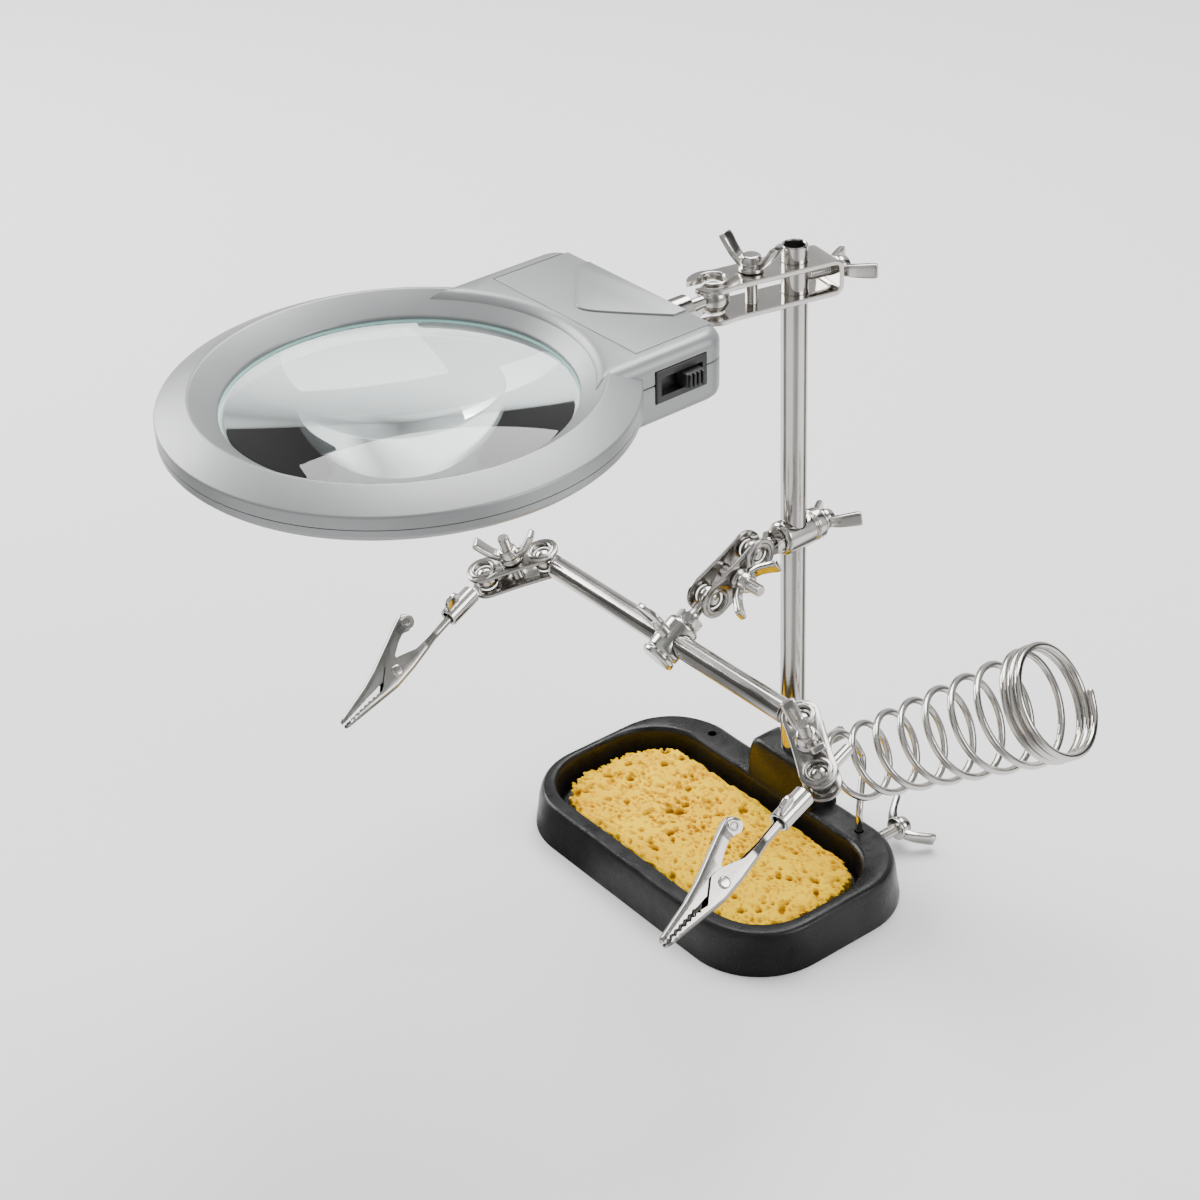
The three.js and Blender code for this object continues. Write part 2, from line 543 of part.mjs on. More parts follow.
// ---------------------------------------------------------------- arm clamp and cross arm
const armCentre = V(POST.x, ARM.y, ARM.z);
const armDir = midTo.clone().sub(armCentre);
const armReach = armDir.length();
armDir.normalize();
const armFrame = frameAt(armCentre, V(1, 0, 0), armDir, V(1, 0, 0).cross(armDir));
{
  const lock = rod([0, 0, 0], [0, 0, 10], SCREW + GAP, 12);
  piece("arm_clamp_block", cut(clampBlock(ARM.radius, "x", true), lock), NICKEL, armFrame);
  clampStud("arm_clamp", armFrame, armReach, ARM.radius);
  const thumb = frameAt(V(0, 0, 7.2), V(1, 0, 0), V(0, 1, 0), V(0, 0, 1), armFrame);
  piece("arm_clamp_screw", spadeScrew(2.3, SCREW, 6.4, 11, 6), NICKEL, thumb);
}
{
  const { y, z, radius, bore, fromBall } = ARM;
  const end = ARM.end - fromBall;
  piece("cross_tube", pipe([-end, y, z], [end, y, z], radius, bore, 20), NICKEL);
  [-1, 1].forEach((s) => {
    const g = frameAt(V(s * ARM.end, y, z), V(0, 1, 0), V(0, 0, s), V(s, 0, 0));
    const plug = join(
      ballStud(fromBall - 1, 2.2, 2.2),
      rod([0, 0, -fromBall + GAP], [0, 0, -fromBall + 1.3], 4.3, 16),
      rod([0, 0, -fromBall - 9], [0, 0, -fromBall + 1], bore - GAP, 16),
    );
    piece(s < 0 ? "left_arm_ball_stud" : "right_arm_ball_stud", plug, NICKEL, g);
  });
}

// ---------------------------------------------------------------- crocodile clips
/** One clip on its ball: local x runs from the ball to the jaw tips, z is the handle side. */
function clip(side, at, tip) {
  const x = tip.clone().sub(at).normalize();
  const zHint = V(-0.676, -0.37, 0.624);
  const z = zHint.addScaledVector(x, -zHint.dot(x)).normalize();
  const g = frameAt(at, x, z.clone().cross(x), z);
  const { length, sleeve, pivot, tail, sheet } = CLIP;
  const stud = frameAt(V(0, 0, 0), V(0, 1, 0), V(0, 0, -1), V(-1, 0, 0), g);
  piece(`${side}_clip_ball_stud`, ballStud(16, 2.2, 2), NICKEL, stud);
  const thumbDir = V(0, 0.886, 0.464);
  const thumbX = sleeve[1] - 3.8;
  const threadHole = rod([thumbX, 0, 0], [thumbX, 6 * thumbDir.y, 6 * thumbDir.z], 1.9, 10);
  const sleeveBody = pipe([sleeve[0], 0, 0], [sleeve[1], 0, 0], 3.9, 2.6, 18);
  piece(`${side}_clip_socket`, cut(sleeveBody, threadHole), NICKEL, g);
  const thumbAt = V(thumbX, 0, 0).addScaledVector(thumbDir, 4.4);
  const thumb = frameAt(thumbAt, ...axesFrom(thumbDir, V(1, 0, 0)), g);
  piece(`${side}_clip_screw`, spadeScrew(1.8, 1.6, 3.6, 8, 3.2), NICKEL, thumb);

  // lower jaw: a folded channel that runs back into the socket as a crimped tail
  const wide = CLIP.lower;
  const lower = [
    [34, -2.3], [pivot - 6, -4.4], [pivot + 4, -4.8], [length, -1.6], [length, 0.1], [length - 15, -0.3],
    [pivot + 9, -1.6], [pivot + 6.5, 1.5], [pivot + 2, 4.6], [pivot - 5, 3.6], [pivot - 12, 0.4], [34, 0.2],
  ];
  const hollow = lower.map(([a, b]) => [a > length - 2 ? a - 0.01 : a, b + 1]);
  const lowerBody = cut(sideways(lower, -wide, wide), sideways(hollow, -wide + sheet, wide - sheet));
  const tailBar = join(
    rod([sleeve[1] - 7, 0, 0], [tail + 1, 0, 0], 2.3, 12),
    block(tail, 36, -1.9, 1.9, -2.3, -0.9),
    block(tail, tail + 1.5, -1.9, 1.9, -2.3, 1.6),
  );
  const pinHole = rod([pivot, -6, 0], [pivot, 6, 0], 1.5 + GAP, 12);
  const floorHoles = [pivot - 13.5, pivot - 8.5].map((at) => rod([at, 0, -6], [at, 0, 0], 1.1, 10));
  const tooth = (k) => block(length - 3.2 - 2.6 * k, length - 2 - 2.6 * k, -4, 4, -0.55, 1);
  const lowerCuts = [pinHole, ...floorHoles, ...[0, 1, 2, 3, 4].map(tooth)];
  piece(`${side}_clip_lower_jaw`, cut(join(lowerBody, tailBar), ...lowerCuts), NICKEL, g);

  // upper jaw: a narrower channel whose handle ends in a round thumb pad
  const narrow = CLIP.upper;
  const upper = [
    [length, 0.55], [length, 2.3], [pivot + 6, 6.9], [pivot - 15, 13.9], [pivot - 17.4, 14.4],
    [pivot - 20, 13.2], [pivot - 20.8, 11], [pivot - 19.9, 8.6], [pivot - 17.4, 7.6], [pivot - 14, 8.1], [pivot - 4, 4.8],
    [pivot - 3, -1.9], [pivot + 3, -1.9], [pivot + 8, 1], [length - 14, 0.7],
  ];
  const upperHollow = [[length, 1.3], [pivot + 6, 5.9], [pivot - 13, 11.7], [pivot - 13, -3], [length, -3]];
  const upperBlank = sideways(upper, -narrow, narrow);
  const upperBody = cut(upperBlank, sideways(upperHollow, -narrow + sheet, narrow - sheet));
  piece(`${side}_clip_upper_jaw`, cut(upperBody, pinHole), NICKEL, g);

  piece(`${side}_clip_pin`, rod([pivot, -4.2, 0], [pivot, 4.2, 0], 1.5, 12), NICKEL, g);

  // torsion spring wound on the pin, one leg under the thumb pad and one over the tail
  const path = [V(pivot - 9.5, -1.3, 2), V(pivot - 5, -1.3, 2.1)];
  const coilRadius = 2.2;
  const steps = 24;
  for (let k = 0; k <= steps; k += 1) {
    const angle = Math.PI / 2 - (2 * Math.PI * k) / 10;
    const across = -1.3 + (2.6 * k) / steps;
    path.push(V(pivot + coilRadius * Math.cos(angle), across, coilRadius * Math.sin(angle)));
  }
  path.push(V(pivot - 6, 1.3, -1.6), V(pivot - 10, 1.3, -1.3));
  const wire = new THREE.Shape();
  wire.absarc(0, 0, 0.35, 0, 2 * Math.PI);
  const curve = new THREE.CatmullRomCurve3(path);
  const how = { steps: path.length + 3, extrudePath: curve, curveSegments: 3 };
  piece(`${side}_clip_spring`, solid(new THREE.ExtrudeGeometry(wire, how)), NICKEL, g);
}

const leftBall = V(-89.5, -41.2, 106.7);
const rightBall = V(97.7, -31.7, 105.3);
const leftEnd = V(-ARM.end, ARM.y, ARM.z);
const rightEnd = V(ARM.end, ARM.y, ARM.z);
link("left", leftEnd, leftBall, V(0, -0.3, 0.954), rad(-14), leftEnd.distanceTo(leftBall));
link("right", rightEnd, rightBall, V(0.1, -0.37, 0.92), rad(14), rightEnd.distanceTo(rightBall));
clip("left", leftBall, V(-74.9, -121, 79));
clip("right", rightBall, V(110.6, -113.7, 82.9));

export default station;
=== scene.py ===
# A soldering helping-hands station, piece by piece in the order it is put together.
# Sizes are in millimetres and are scaled to metres when a piece is made.
import json
import math

import bmesh
import bpy
import numpy as np
from mathutils import Matrix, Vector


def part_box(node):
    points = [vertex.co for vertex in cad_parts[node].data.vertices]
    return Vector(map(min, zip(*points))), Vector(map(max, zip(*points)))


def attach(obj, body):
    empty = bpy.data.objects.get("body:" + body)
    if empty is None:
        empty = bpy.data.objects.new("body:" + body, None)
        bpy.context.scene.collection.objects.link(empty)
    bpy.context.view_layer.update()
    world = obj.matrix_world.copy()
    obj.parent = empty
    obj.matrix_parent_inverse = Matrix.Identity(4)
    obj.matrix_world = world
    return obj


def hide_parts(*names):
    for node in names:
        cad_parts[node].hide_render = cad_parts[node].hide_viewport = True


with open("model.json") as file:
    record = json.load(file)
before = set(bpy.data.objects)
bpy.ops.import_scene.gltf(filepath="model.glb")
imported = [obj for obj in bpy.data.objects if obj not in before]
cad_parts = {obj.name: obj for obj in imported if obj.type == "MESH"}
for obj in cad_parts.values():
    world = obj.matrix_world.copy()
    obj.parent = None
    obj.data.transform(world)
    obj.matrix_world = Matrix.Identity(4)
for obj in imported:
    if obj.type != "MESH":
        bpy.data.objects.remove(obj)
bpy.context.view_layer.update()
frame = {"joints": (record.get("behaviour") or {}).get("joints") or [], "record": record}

# ------------------------------------------------------------ base casting
# A cast-iron tray with a raised boss at the back for the post. The casting is fettled by
# hand, so its rim is a little lumpy, and it is dipped in satin black baked paint.
MM = 0.001
SAME_POINT, SAME_EDGE = 1e-6, 1e-7  # metres
FINE_RELIEF = 0.0005  # metres
BODY_OF = {n: b for b, ns in frame["record"]["behaviour"]["bodies"].items() for n in ns}


def box_mm(node):
    """A node's lowest and highest corners in millimetres."""
    low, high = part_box(node)
    return np.array(low) / MM, np.array(high) / MM


def quads(rows, cols, wrap_rows=False, wrap_cols=True):
    """Four-sided faces of a grid of points, row by row; a wrapped direction closes on itself."""
    r = np.arange(rows if wrap_rows else rows - 1)
    c = np.arange(cols if wrap_cols else cols - 1)
    r, c = np.meshgrid(r, c, indexing="ij")
    r2, c2 = (r + 1) % rows, (c + 1) % cols
    corners = [r * cols + c, r * cols + c2, r2 * cols + c2, r2 * cols + c]
    return np.stack(corners, -1).reshape(-1, 4).tolist()


def lofted(rings):
    """Skin over closed rings of equal count, with a flat cap on the first and the last."""
    levels, count = rings.shape[:2]
    faces = quads(levels, count)
    faces.append(list(range(count))[::-1])
    faces.append([(levels - 1) * count + i for i in range(count)])
    return rings.reshape(-1, 3), faces


def merged(*shapes):
    """Several shapes as one list of points and faces."""
    points, faces, start = [], [], 0
    for p, f in shapes:
        points.append(p)
        faces += [[i + start for i in face] for face in f]
        start += len(p)
    return np.concatenate(points), faces


def mesh_of(name, shape):
    """A mesh in metres with doubled points merged and every face pointing outwards."""
    mesh = bpy.data.meshes.new(name)
    mesh.from_pydata((shape[0] * MM).tolist(), [], shape[1])
    work = bmesh.new()
    work.from_mesh(mesh)
    bmesh.ops.remove_doubles(work, verts=work.verts, dist=SAME_POINT)
    bmesh.ops.dissolve_degenerate(work, edges=work.edges, dist=SAME_EDGE)
    bmesh.ops.recalc_face_normals(work, faces=work.faces)
    work.to_mesh(mesh)
    work.free()
    return mesh


def carved(shape, *cutters, edge=0.0, steps=2):
    """The shape less the cutters, with its sharp edges then rounded by an edge radius."""
    body = bpy.data.objects.new("blank", mesh_of("blank", shape))
    bpy.context.scene.collection.objects.link(body)
    tools = []
    for cutter in cutters:
        tool = bpy.data.objects.new("cutter", mesh_of("cutter", cutter))
        bpy.context.scene.collection.objects.link(tool)
        tools.append(tool)
        step = body.modifiers.new("cut", "BOOLEAN")
        step.operation = "DIFFERENCE"
        step.solver = "EXACT"
        step.object = tool
    if edge:
        bevel = body.modifiers.new("edge", "BEVEL")
        bevel.width = edge * MM
        bevel.segments = steps
        bevel.limit_method = "ANGLE"
        bevel.angle_limit = math.radians(40)
    done = body.evaluated_get(bpy.context.evaluated_depsgraph_get()).to_mesh()
    points = np.array([v.co for v in done.vertices]) / MM
    faces = [list(p.vertices) for p in done.polygons]
    for extra in [body, *tools]:
        bpy.data.objects.remove(extra)
    return points, faces


def make(node, shape, finish, crease=35):
    """One finished piece that stands for its CAD node, shaded smooth except at sharp edges."""
    mesh = mesh_of(node + "_surface", shape)
    mesh.shade_smooth()
    mesh.set_sharp_from_angle(angle=math.radians(crease))
    mesh.materials.append(finish)
    piece = bpy.data.objects.new(node + "_surface", mesh)
    bpy.context.scene.collection.objects.link(piece)
    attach(piece, BODY_OF[node])
    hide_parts(node)
    return piece


def rounded_rect(length, width, corner, x=0.0, y=0.0, arc=14, side=10):
    """Points round a rectangle with arc corners, the same count for any size."""
    hx, hy = length / 2 - corner, width / 2 - corner
    points = []
    for k, (sx, sy) in enumerate([(1, 1), (-1, 1), (-1, -1), (1, -1)]):
        a = math.pi / 2 * (k + np.linspace(0, 1, arc))
        points.append(np.stack([sx * hx + corner * np.cos(a), sy * hy + corner * np.sin(a)], 1))
    loop = []
    for here, after in zip(points, points[1:] + points[:1]):
        loop.append(here)
        t = np.linspace(0, 1, side + 2)[1:-1, None]
        loop.append(here[-1] * (1 - t) + after[0] * t)
    return np.concatenate(loop) + [x, y]


def softened(points, radius, steps=5):
    """An open outline whose inner corners are replaced by curves that start radius away."""
    points = np.array(points, float)
    out = [points[0]]
    for before, here, after in zip(points[:-2], points[1:-1], points[2:]):
        back, on = before - here, after - here
        reach_back = min(radius, np.linalg.norm(back) * 0.48)
        reach_on = min(radius, np.linalg.norm(on) * 0.48)
        start = here + back / np.linalg.norm(back) * reach_back
        end = here + on / np.linalg.norm(on) * reach_on
        for t in np.linspace(0, 1, steps + 1):
            out.append((1 - t) ** 2 * start + 2 * t * (1 - t) * here + t * t * end)
    out.append(points[-1])
    return np.array(out)


def group_sockets(group, inputs, outputs):
    """Declares a node group's sockets and returns its input and output nodes."""
    for name, kind, value in inputs:
        socket = group.interface.new_socket(name, in_out="INPUT", socket_type=kind)
        socket.default_value = value
    for name, kind in outputs:
        group.interface.new_socket(name, in_out="OUTPUT", socket_type=kind)
    return group.nodes.new("NodeGroupInput"), group.nodes.new("NodeGroupOutput")


def noise(group, vector, scale, detail=2.0):
    """A noise texture on the given coordinates; scale is a socket or a number."""
    node = group.nodes.new("ShaderNodeTexNoise")
    node.inputs["Detail"].default_value = detail
    group.links.new(vector, node.inputs["Vector"])
    if isinstance(scale, float):
        node.inputs["Scale"].default_value = scale
    else:
        group.links.new(scale, node.inputs["Scale"])
    return node.outputs["Fac"]


def spread(group, value, low, high, start=0.3, end=0.7):
    """Maps a mask from start..end onto low..high; low and high are sockets or numbers."""
    node = group.nodes.new("ShaderNodeMapRange")
    group.links.new(value, node.inputs["Value"])
    node.inputs["From Min"].default_value = start
    node.inputs["From Max"].default_value = end
    for name, end_value in (("To Min", low), ("To Max", high)):
        if isinstance(end_value, float):
            node.inputs[name].default_value = end_value
        else:
            group.links.new(end_value, node.inputs[name])
    return node.outputs["Result"]


def handled_group():
    """Worn gloss: cloudy patches of roughness, fine scratches and a low, uneven surface."""
    group = bpy.data.node_groups.new("handled_gloss", "ShaderNodeTree")
    entry, leave = group_sockets(
        group,
        [("Vector", "NodeSocketVector", (0, 0, 0)), ("Smooth", "NodeSocketFloat", 0.1),
         ("Dull", "NodeSocketFloat", 0.3), ("Patch Scale", "NodeSocketFloat", 60.0),
         ("Grain Scale", "NodeSocketFloat", 900.0), ("Grain Share", "NodeSocketFloat", 0.3)],
        [("Roughness", "NodeSocketFloat"), ("Height", "NodeSocketFloat"), ("Patch", "NodeSocketFloat")],
    )
    patch = noise(group, entry.outputs["Vector"], entry.outputs["Patch Scale"], 3.0)
    grain = noise(group, entry.outputs["Vector"], entry.outputs["Grain Scale"], 2.0)
    rough = spread(group, patch, entry.outputs["Smooth"], entry.outputs["Dull"])
    mix = group.nodes.new("ShaderNodeMix")
    group.links.new(entry.outputs["Grain Share"], mix.inputs["Factor"])
    group.links.new(patch, mix.inputs["A"])
    group.links.new(grain, mix.inputs["B"])
    group.links.new(rough, leave.inputs["Roughness"])
    group.links.new(mix.outputs["Result"], leave.inputs["Height"])
    group.links.new(patch, leave.inputs["Patch"])
    return group


HANDLED = handled_group()


def new_material(name):
    """A material with its node tree, its Principled shader and its object coordinates."""
    material = bpy.data.materials.new(name)
    material.use_nodes = True
    tree = material.node_tree
    where = tree.nodes.new("ShaderNodeTexCoord").outputs["Object"]
    return material, tree, tree.nodes["Principled BSDF"], where


def colour_between(tree, factor, first, second):
    """Two colours mixed by a mask; each colour is a socket or three numbers."""
    mix = tree.nodes.new("ShaderNodeMix")
    mix.data_type = "RGBA"
    tree.links.new(factor, mix.inputs["Factor"])
    for name, colour in (("A", first), ("B", second)):
        if isinstance(colour, tuple):
            mix.inputs[name].default_value = (*colour, 1)
        else:
            tree.links.new(colour, mix.inputs[name])
    return mix.outputs["Result"]


def relief(tree, shader, height, strength, distance):
    """A bump made from a height mask, into the shader's normal."""
    bump = tree.nodes.new("ShaderNodeBump")
    bump.inputs["Strength"].default_value = strength
    bump.inputs["Distance"].default_value = distance
    tree.links.new(height, bump.inputs["Height"])
    tree.links.new(bump.outputs["Normal"], shader.inputs["Normal"])


def finish(name, light, dark, smooth, dull, patch, grain, share, bump, metallic=0.0, specular=0.5):
    """A painted, plated or moulded finish: two close colours over worn gloss and a fine bump."""
    material, tree, shader, where = new_material(name)
    worn = tree.nodes.new("ShaderNodeGroup")
    worn.node_tree = HANDLED
    for socket, value in (("Smooth", smooth), ("Dull", dull), ("Patch Scale", patch),
                          ("Grain Scale", grain), ("Grain Share", share)):
        worn.inputs[socket].default_value = value
    tree.links.new(where, worn.inputs["Vector"])
    tint = colour_between(tree, worn.outputs["Patch"], dark, light)
    tree.links.new(tint, shader.inputs["Base Color"])
    tree.links.new(worn.outputs["Roughness"], shader.inputs["Roughness"])
    relief(tree, shader, worn.outputs["Height"], bump, FINE_RELIEF)
    shader.inputs["Metallic"].default_value = metallic
    shader.inputs["Specular IOR Level"].default_value = specular
    return material


CAST_BLACK = finish("cast_black_paint", (0.009, 0.009, 0.0095), (0.004, 0.004, 0.0045), 0.22, 0.4,
                    110.0, 1400.0, 0.2, 0.8, specular=0.3)
POST_AT = np.array([3.5, 40.0])
LEG_X, LEG_Y, LEG_HOLE = 45.2, 38.0, 1.9
TRAY = [  # length, width, corner, x, y and height of each rounded rectangle
    (156, 95.5, 32, 0, 0, 0), (156, 95.5, 32, 0, 0, 0.6), (154.6, 94.1, 31.4, 0, 0, 5),
    (152.6, 92.1, 30.2, 0, 0, 12), (150.9, 90.4, 29.4, 0, 0, 15.6), (149.6, 89.1, 28.8, 0, 0, 17.1),
    (147.4, 86.9, 27.7, -0.2, -0.2, 17.9), (145.4, 83.5, 26.6, -0.5, -0.8, 18.05),
    (143, 76, 25.6, -0.8, -2, 18.0), (141.2, 70.6, 24.9, -1, -3.1, 17.7), (140, 69, 24.4, -1, -3.3, 16.6),
    (139.4, 68.4, 24.2, -1, -3.3, 12), (138.6, 67.6, 24, -1, -3.3, 7), (137, 66, 23.5, -1, -3.3, 4.8),
    (133, 62, 22, -1, -3.3, 4), (60, 10, 4, -1, -3.3, 4),
]


def lumpy(points, size, reach=0.22):
    """Moves points by three crossed sine waves, each a few size long, as on a hand-cast skin."""
    x, y, z = points.T / size
    wave = np.sin(x + 1.7 * y) + np.sin(1.3 * y - 2.1 * z + 1) + np.sin(2.3 * x - 0.7 * z + 2)
    return points + reach / 3 * np.stack([wave, np.roll(wave, 7), wave * 0.7], 1) * (points[:, 2:3] > 1.0)


def base_tray():
    """Rounded rectangles lofted up the outside, over the rim and down into the pocket."""
    arc, side, between = 16, 22, 3
    rings = np.array([np.column_stack([rounded_rect(*outline, arc, side), np.full(4 * (arc + side), z)])
                      for *outline, z in TRAY])
    last = len(rings) - 1
    fine = np.linspace(0, last, between * last + 1)
    under = fine.astype(int).clip(max=last - 1)
    dense = rings[under] + (fine - under)[:, None, None] * (rings[under + 1] - rings[under])
    points, faces = lofted(dense)
    return lumpy(points, 9.0), faces


def post_boss():
    """A block with round shoulders: its front outline shrinks towards both faces."""
    top = box_mm("base")[1][2]
    outline = softened([(0, 0.6), (20, 0.6), (20, 17), (18.8, 30), (15.5, top), (0, top)], 4.5)
    x, z = np.concatenate([outline, (outline * [-1, 1])[1:-1][::-1]]).T
    depth = [(2.2, 31.6), (0.8, 32.2), (0.1, 33.6), (0, 40), (0.1, 45.2), (0.8, 46.5), (2.2, 47)]
    rings = [np.column_stack([POST_AT[0] + x * (1 - pull / 20), np.full(len(x), y), z * (1 - pull / 40)])
             for pull, y in depth]
    points, faces = lofted(np.array(rings))
    return lumpy(points, 7.0, 0.3), faces


def turned(profile, around=40, closed=False):
    """Surface of revolution about z: (r cos a, r sin a, z) for each profile point (r, z)."""
    r, z = np.array(profile, float).T
    a = np.linspace(0, 2 * np.pi, around, endpoint=False)
    points = np.stack([np.outer(r, np.cos(a)), np.outer(r, np.sin(a)), np.repeat(z[:, None], around, 1)], -1)
    return points.reshape(-1, 3), quads(len(r), around, wrap_rows=closed)


def placed(shape, origin, axes=np.eye(3)):
    """The shape carried into a frame whose axes are the columns of a matrix."""
    return shape[0] @ np.array(axes).T + np.array(origin, float), shape[1]


def round_bar(radius, start, end, around=24):
    """A plain bar along z, used as a drill."""
    return turned([(0, start), (radius, start), (radius, end), (0, end)], around)


LEG_HOLES = [placed(round_bar(LEG_HOLE, 10, 25), (x, LEG_Y, 0)) for x in (-LEG_X, LEG_X)]
make("base", merged(carved(base_tray(), *LEG_HOLES), post_boss()), CAST_BLACK, 50)

# ------------------------------------------------------------ sponge
# A slab of yellow cellulose sponge cut to the tray with ragged edges. Its pores are round
# pits of many sizes, and a few near the edge break through it.
PORES = [(46, 1.5, 2.4), (300, 0.9, 1.4), (1700, 0.45, 0.85)]  # how many, least and most radius

RAGGED = [(9, 1, 0.3), (23, 2, 0.3), (57, 0, 0.25), (101, 4, 0.2)]  # waves round the edge, phase, size
SPONGE_CORNER, LID_RINGS, WALL_RINGS = 20, 118, 9


def pitted(x, y, middle, size):
    """Depth at each point of round and oval pores scattered over the block."""
    draw = np.random.default_rng(11)
    depth = np.zeros(x.shape)
    for amount, least, most in PORES:
        at = middle + (draw.random((amount, 2)) - 0.5) * size
        radius = draw.uniform(least, most, amount)
        stretch = draw.uniform(0.6, 1.0, amount)
        lean = draw.uniform(0, np.pi, amount)
        for (px, py), r, s, a in zip(at, radius, stretch, lean):
            dx, dy = x - px, y - py
            u = (dx * np.cos(a) + dy * np.sin(a)) / r
            v = (dy * np.cos(a) - dx * np.sin(a)) / (r * s)
            pit = np.clip((1 - u * u - v * v) * 2.2, 0, 1)
            depth = np.maximum(depth, pit * r * 1.1)
    return depth


def sponge_block():
    """Rings shrinking to the middle of a ragged outline, on a wall that is widest at mid height."""
    low, high = box_mm("sponge")
    size, middle = (high - low)[:2], (high + low)[:2] / 2
    edge = rounded_rect(*size, SPONGE_CORNER, 0, 0, 80, 84)
    turn = np.linspace(0, 2 * np.pi, len(edge), endpoint=False)
    ragged = sum(np.sin(turn * k + p) * s for k, p, s in RAGGED)
    edge *= 1 - (0.35 + ragged)[:, None] / 30
    reach = np.linspace(1, 0, LID_RINGS)[:, None]
    x, y = middle[:, None, None] + edge.T[:, None] * reach
    depth = pitted(x, y, middle, size)
    swell = 0.25 * np.sin(x / 9) * np.sin(y / 7 + 1) + 0.12 * np.sin(x / 2.3 + y / 3.1)
    rim = np.clip((1 - reach) * 12, 0, 1) ** 0.5
    z = high[2] - 0.35 + swell * 0.6 - depth - (1 - rim) * 1.2
    wall_z = np.linspace(low[2], high[2] - 1.9, WALL_RINGS)
    bulge = 1 - 0.02 * np.abs(np.linspace(-1, 1, WALL_RINGS)) ** 3
    wall = [np.column_stack([middle + edge * b, np.full(len(edge), h)]) for h, b in zip(wall_z, bulge)]
    points, faces = lofted(np.concatenate([np.array(wall), np.dstack([x, y, z])]))
    return points, faces, np.concatenate([np.zeros(WALL_RINGS * len(edge)), depth.ravel()])


def sponge_finish():
    """Yellow cellulose: painted shade that darkens the pores by their depth, pale skin between them, no
    gloss.
    """
    material, tree, shader, where = new_material("yellow_cellulose")
    clouds = spread(tree, noise(tree, where, 60.0, 2.0), 0.0, 1.0)
    skin = colour_between(tree, clouds, (0.84, 0.46, 0.0), (0.96, 0.61, 0.0))
    pit = tree.nodes.new("ShaderNodeAttribute")
    pit.attribute_name = "pore_depth"
    # Painted shade: each pore is darkened towards brown by its depth, standing in for the shade inside the
    # pits.
    painted_pore_shade = spread(tree, pit.outputs["Fac"], 0.0, 0.85, 0.45, 1.7)
    tree.links.new(colour_between(tree, painted_pore_shade, skin, (0.30, 0.13, 0.0)), shader.inputs["Base Color"])
    pores = tree.nodes.new("ShaderNodeTexVoronoi")
    pores.inputs["Scale"].default_value = 620.0
    tree.links.new(where, pores.inputs["Vector"])
    both = tree.nodes.new("ShaderNodeMix")
    both.inputs["Factor"].default_value = 0.6
    tree.links.new(noise(tree, where, 700.0, 4.0), both.inputs["A"])
    tree.links.new(pores.outputs["Distance"], both.inputs["B"])
    relief(tree, shader, both.outputs["Result"], 0.7, 0.0006)
    shader.inputs["Roughness"].default_value = 0.95
    shader.inputs["Specular IOR Level"].default_value = 0.1
    return material


sponge_points, sponge_faces, pore_depth = sponge_block()
sponge = make("sponge", (sponge_points, sponge_faces), sponge_finish(), 60)
# The pore depth at each point, which also drives the sponge finish's painted pore shade.
depth_at = {tuple(np.round(p * MM, 5)): d for p, d in zip(sponge_points, pore_depth)}
places = [tuple(np.round(np.array(v.co), 5)) for v in sponge.data.vertices]
depths = sponge.data.attributes.new("pore_depth", "FLOAT", "POINT")
depths.data.foreach_set("value", [depth_at.get(place, 0.0) for place in places])

# ------------------------------------------------------------ post
# A plain nickel-plated steel tube, open at the top, pushed into the boss.
NICKEL = finish("bright_nickel", (0.64, 0.62, 0.59), (0.48, 0.462, 0.435), 0.08, 0.2, 45.0, 900.0, 0.35,
                0.06, metallic=1.0)
RIM_EASE = 0.35


def bored_tube(outer, bore, start, end, around=48):
    """A tube along z whose four rims are rounded a little."""
    e = RIM_EASE
    return turned([(bore, start + e), (bore + e, start), (outer - e, start), (outer, start + e),
                   (outer, end - e), (outer - e, end), (bore + e, end), (bore, end - e)], around, closed=True)


POST_OUTER, POST_BORE = 5, 4
(*_, post_foot), (*_, post_top) = box_mm("post")
make("post", placed(bored_tube(POST_OUTER, POST_BORE, post_foot, post_top, 64), (*POST_AT, 0)), NICKEL)

# ------------------------------------------------------------ wing screws and nuts
# Die-cast wing heads with two flared ears, plated, on threaded shafts. One size is used
# all over the stand: as screws on the clamps, and as nuts on the links.
JOINTS = {j["name"]: j for j in frame["joints"]}


def seat(joint):
    """A joint's place in millimetres, and its unit axis."""
    j = JOINTS[joint]
    return np.array(j["pos_m"]) / MM, np.array(j["axis"], float)


def axes_from(z, x_hint):
    """Right-handed axes, as columns, with z given and x as near the hint as it can be."""
    z = np.array(z, float) / np.linalg.norm(z)
    x = np.array(x_hint, float) - np.dot(x_hint, z) * z
    x /= np.linalg.norm(x)
    return np.column_stack([x, np.cross(z, x), z])


def thread(radius, start, end, pitch=0.85, depth=0.32, around=28):
    """A screw thread: the radius falls and rises with z / pitch less the angle's turn."""
    z = np.arange(start, end, pitch / 6)
    a = np.linspace(0, 2 * np.pi, around, endpoint=False)
    phase = (z[:, None] / pitch - a[None] / (2 * np.pi)) % 1
    r = radius - depth * np.abs(2 * phase - 1)
    run_out, shrink = 0.6, 0.35
    taper = np.clip((z - start) / run_out, 0, 1) * np.clip((end - z) / run_out, 0, 1)
    r = r - shrink * (1 - taper[:, None])
    rings = np.stack([r * np.cos(a), r * np.sin(a), np.repeat(z[:, None], around, 1)], -1)
    return lofted(rings)


def pulled_in(outline, amount):
    """A closed outline moved inwards along its own normals."""
    along = np.roll(outline, -1, 0) - np.roll(outline, 1, 0)
    normal = np.stack([-along[:, 1], along[:, 0]], 1)
    normal /= np.linalg.norm(normal, axis=1)[:, None]
    area = np.sum(outline[:, 0] * np.roll(outline[:, 1], -1) - np.roll(outline[:, 0], -1) * outline[:, 1])
    return outline + normal * amount * np.sign(area)


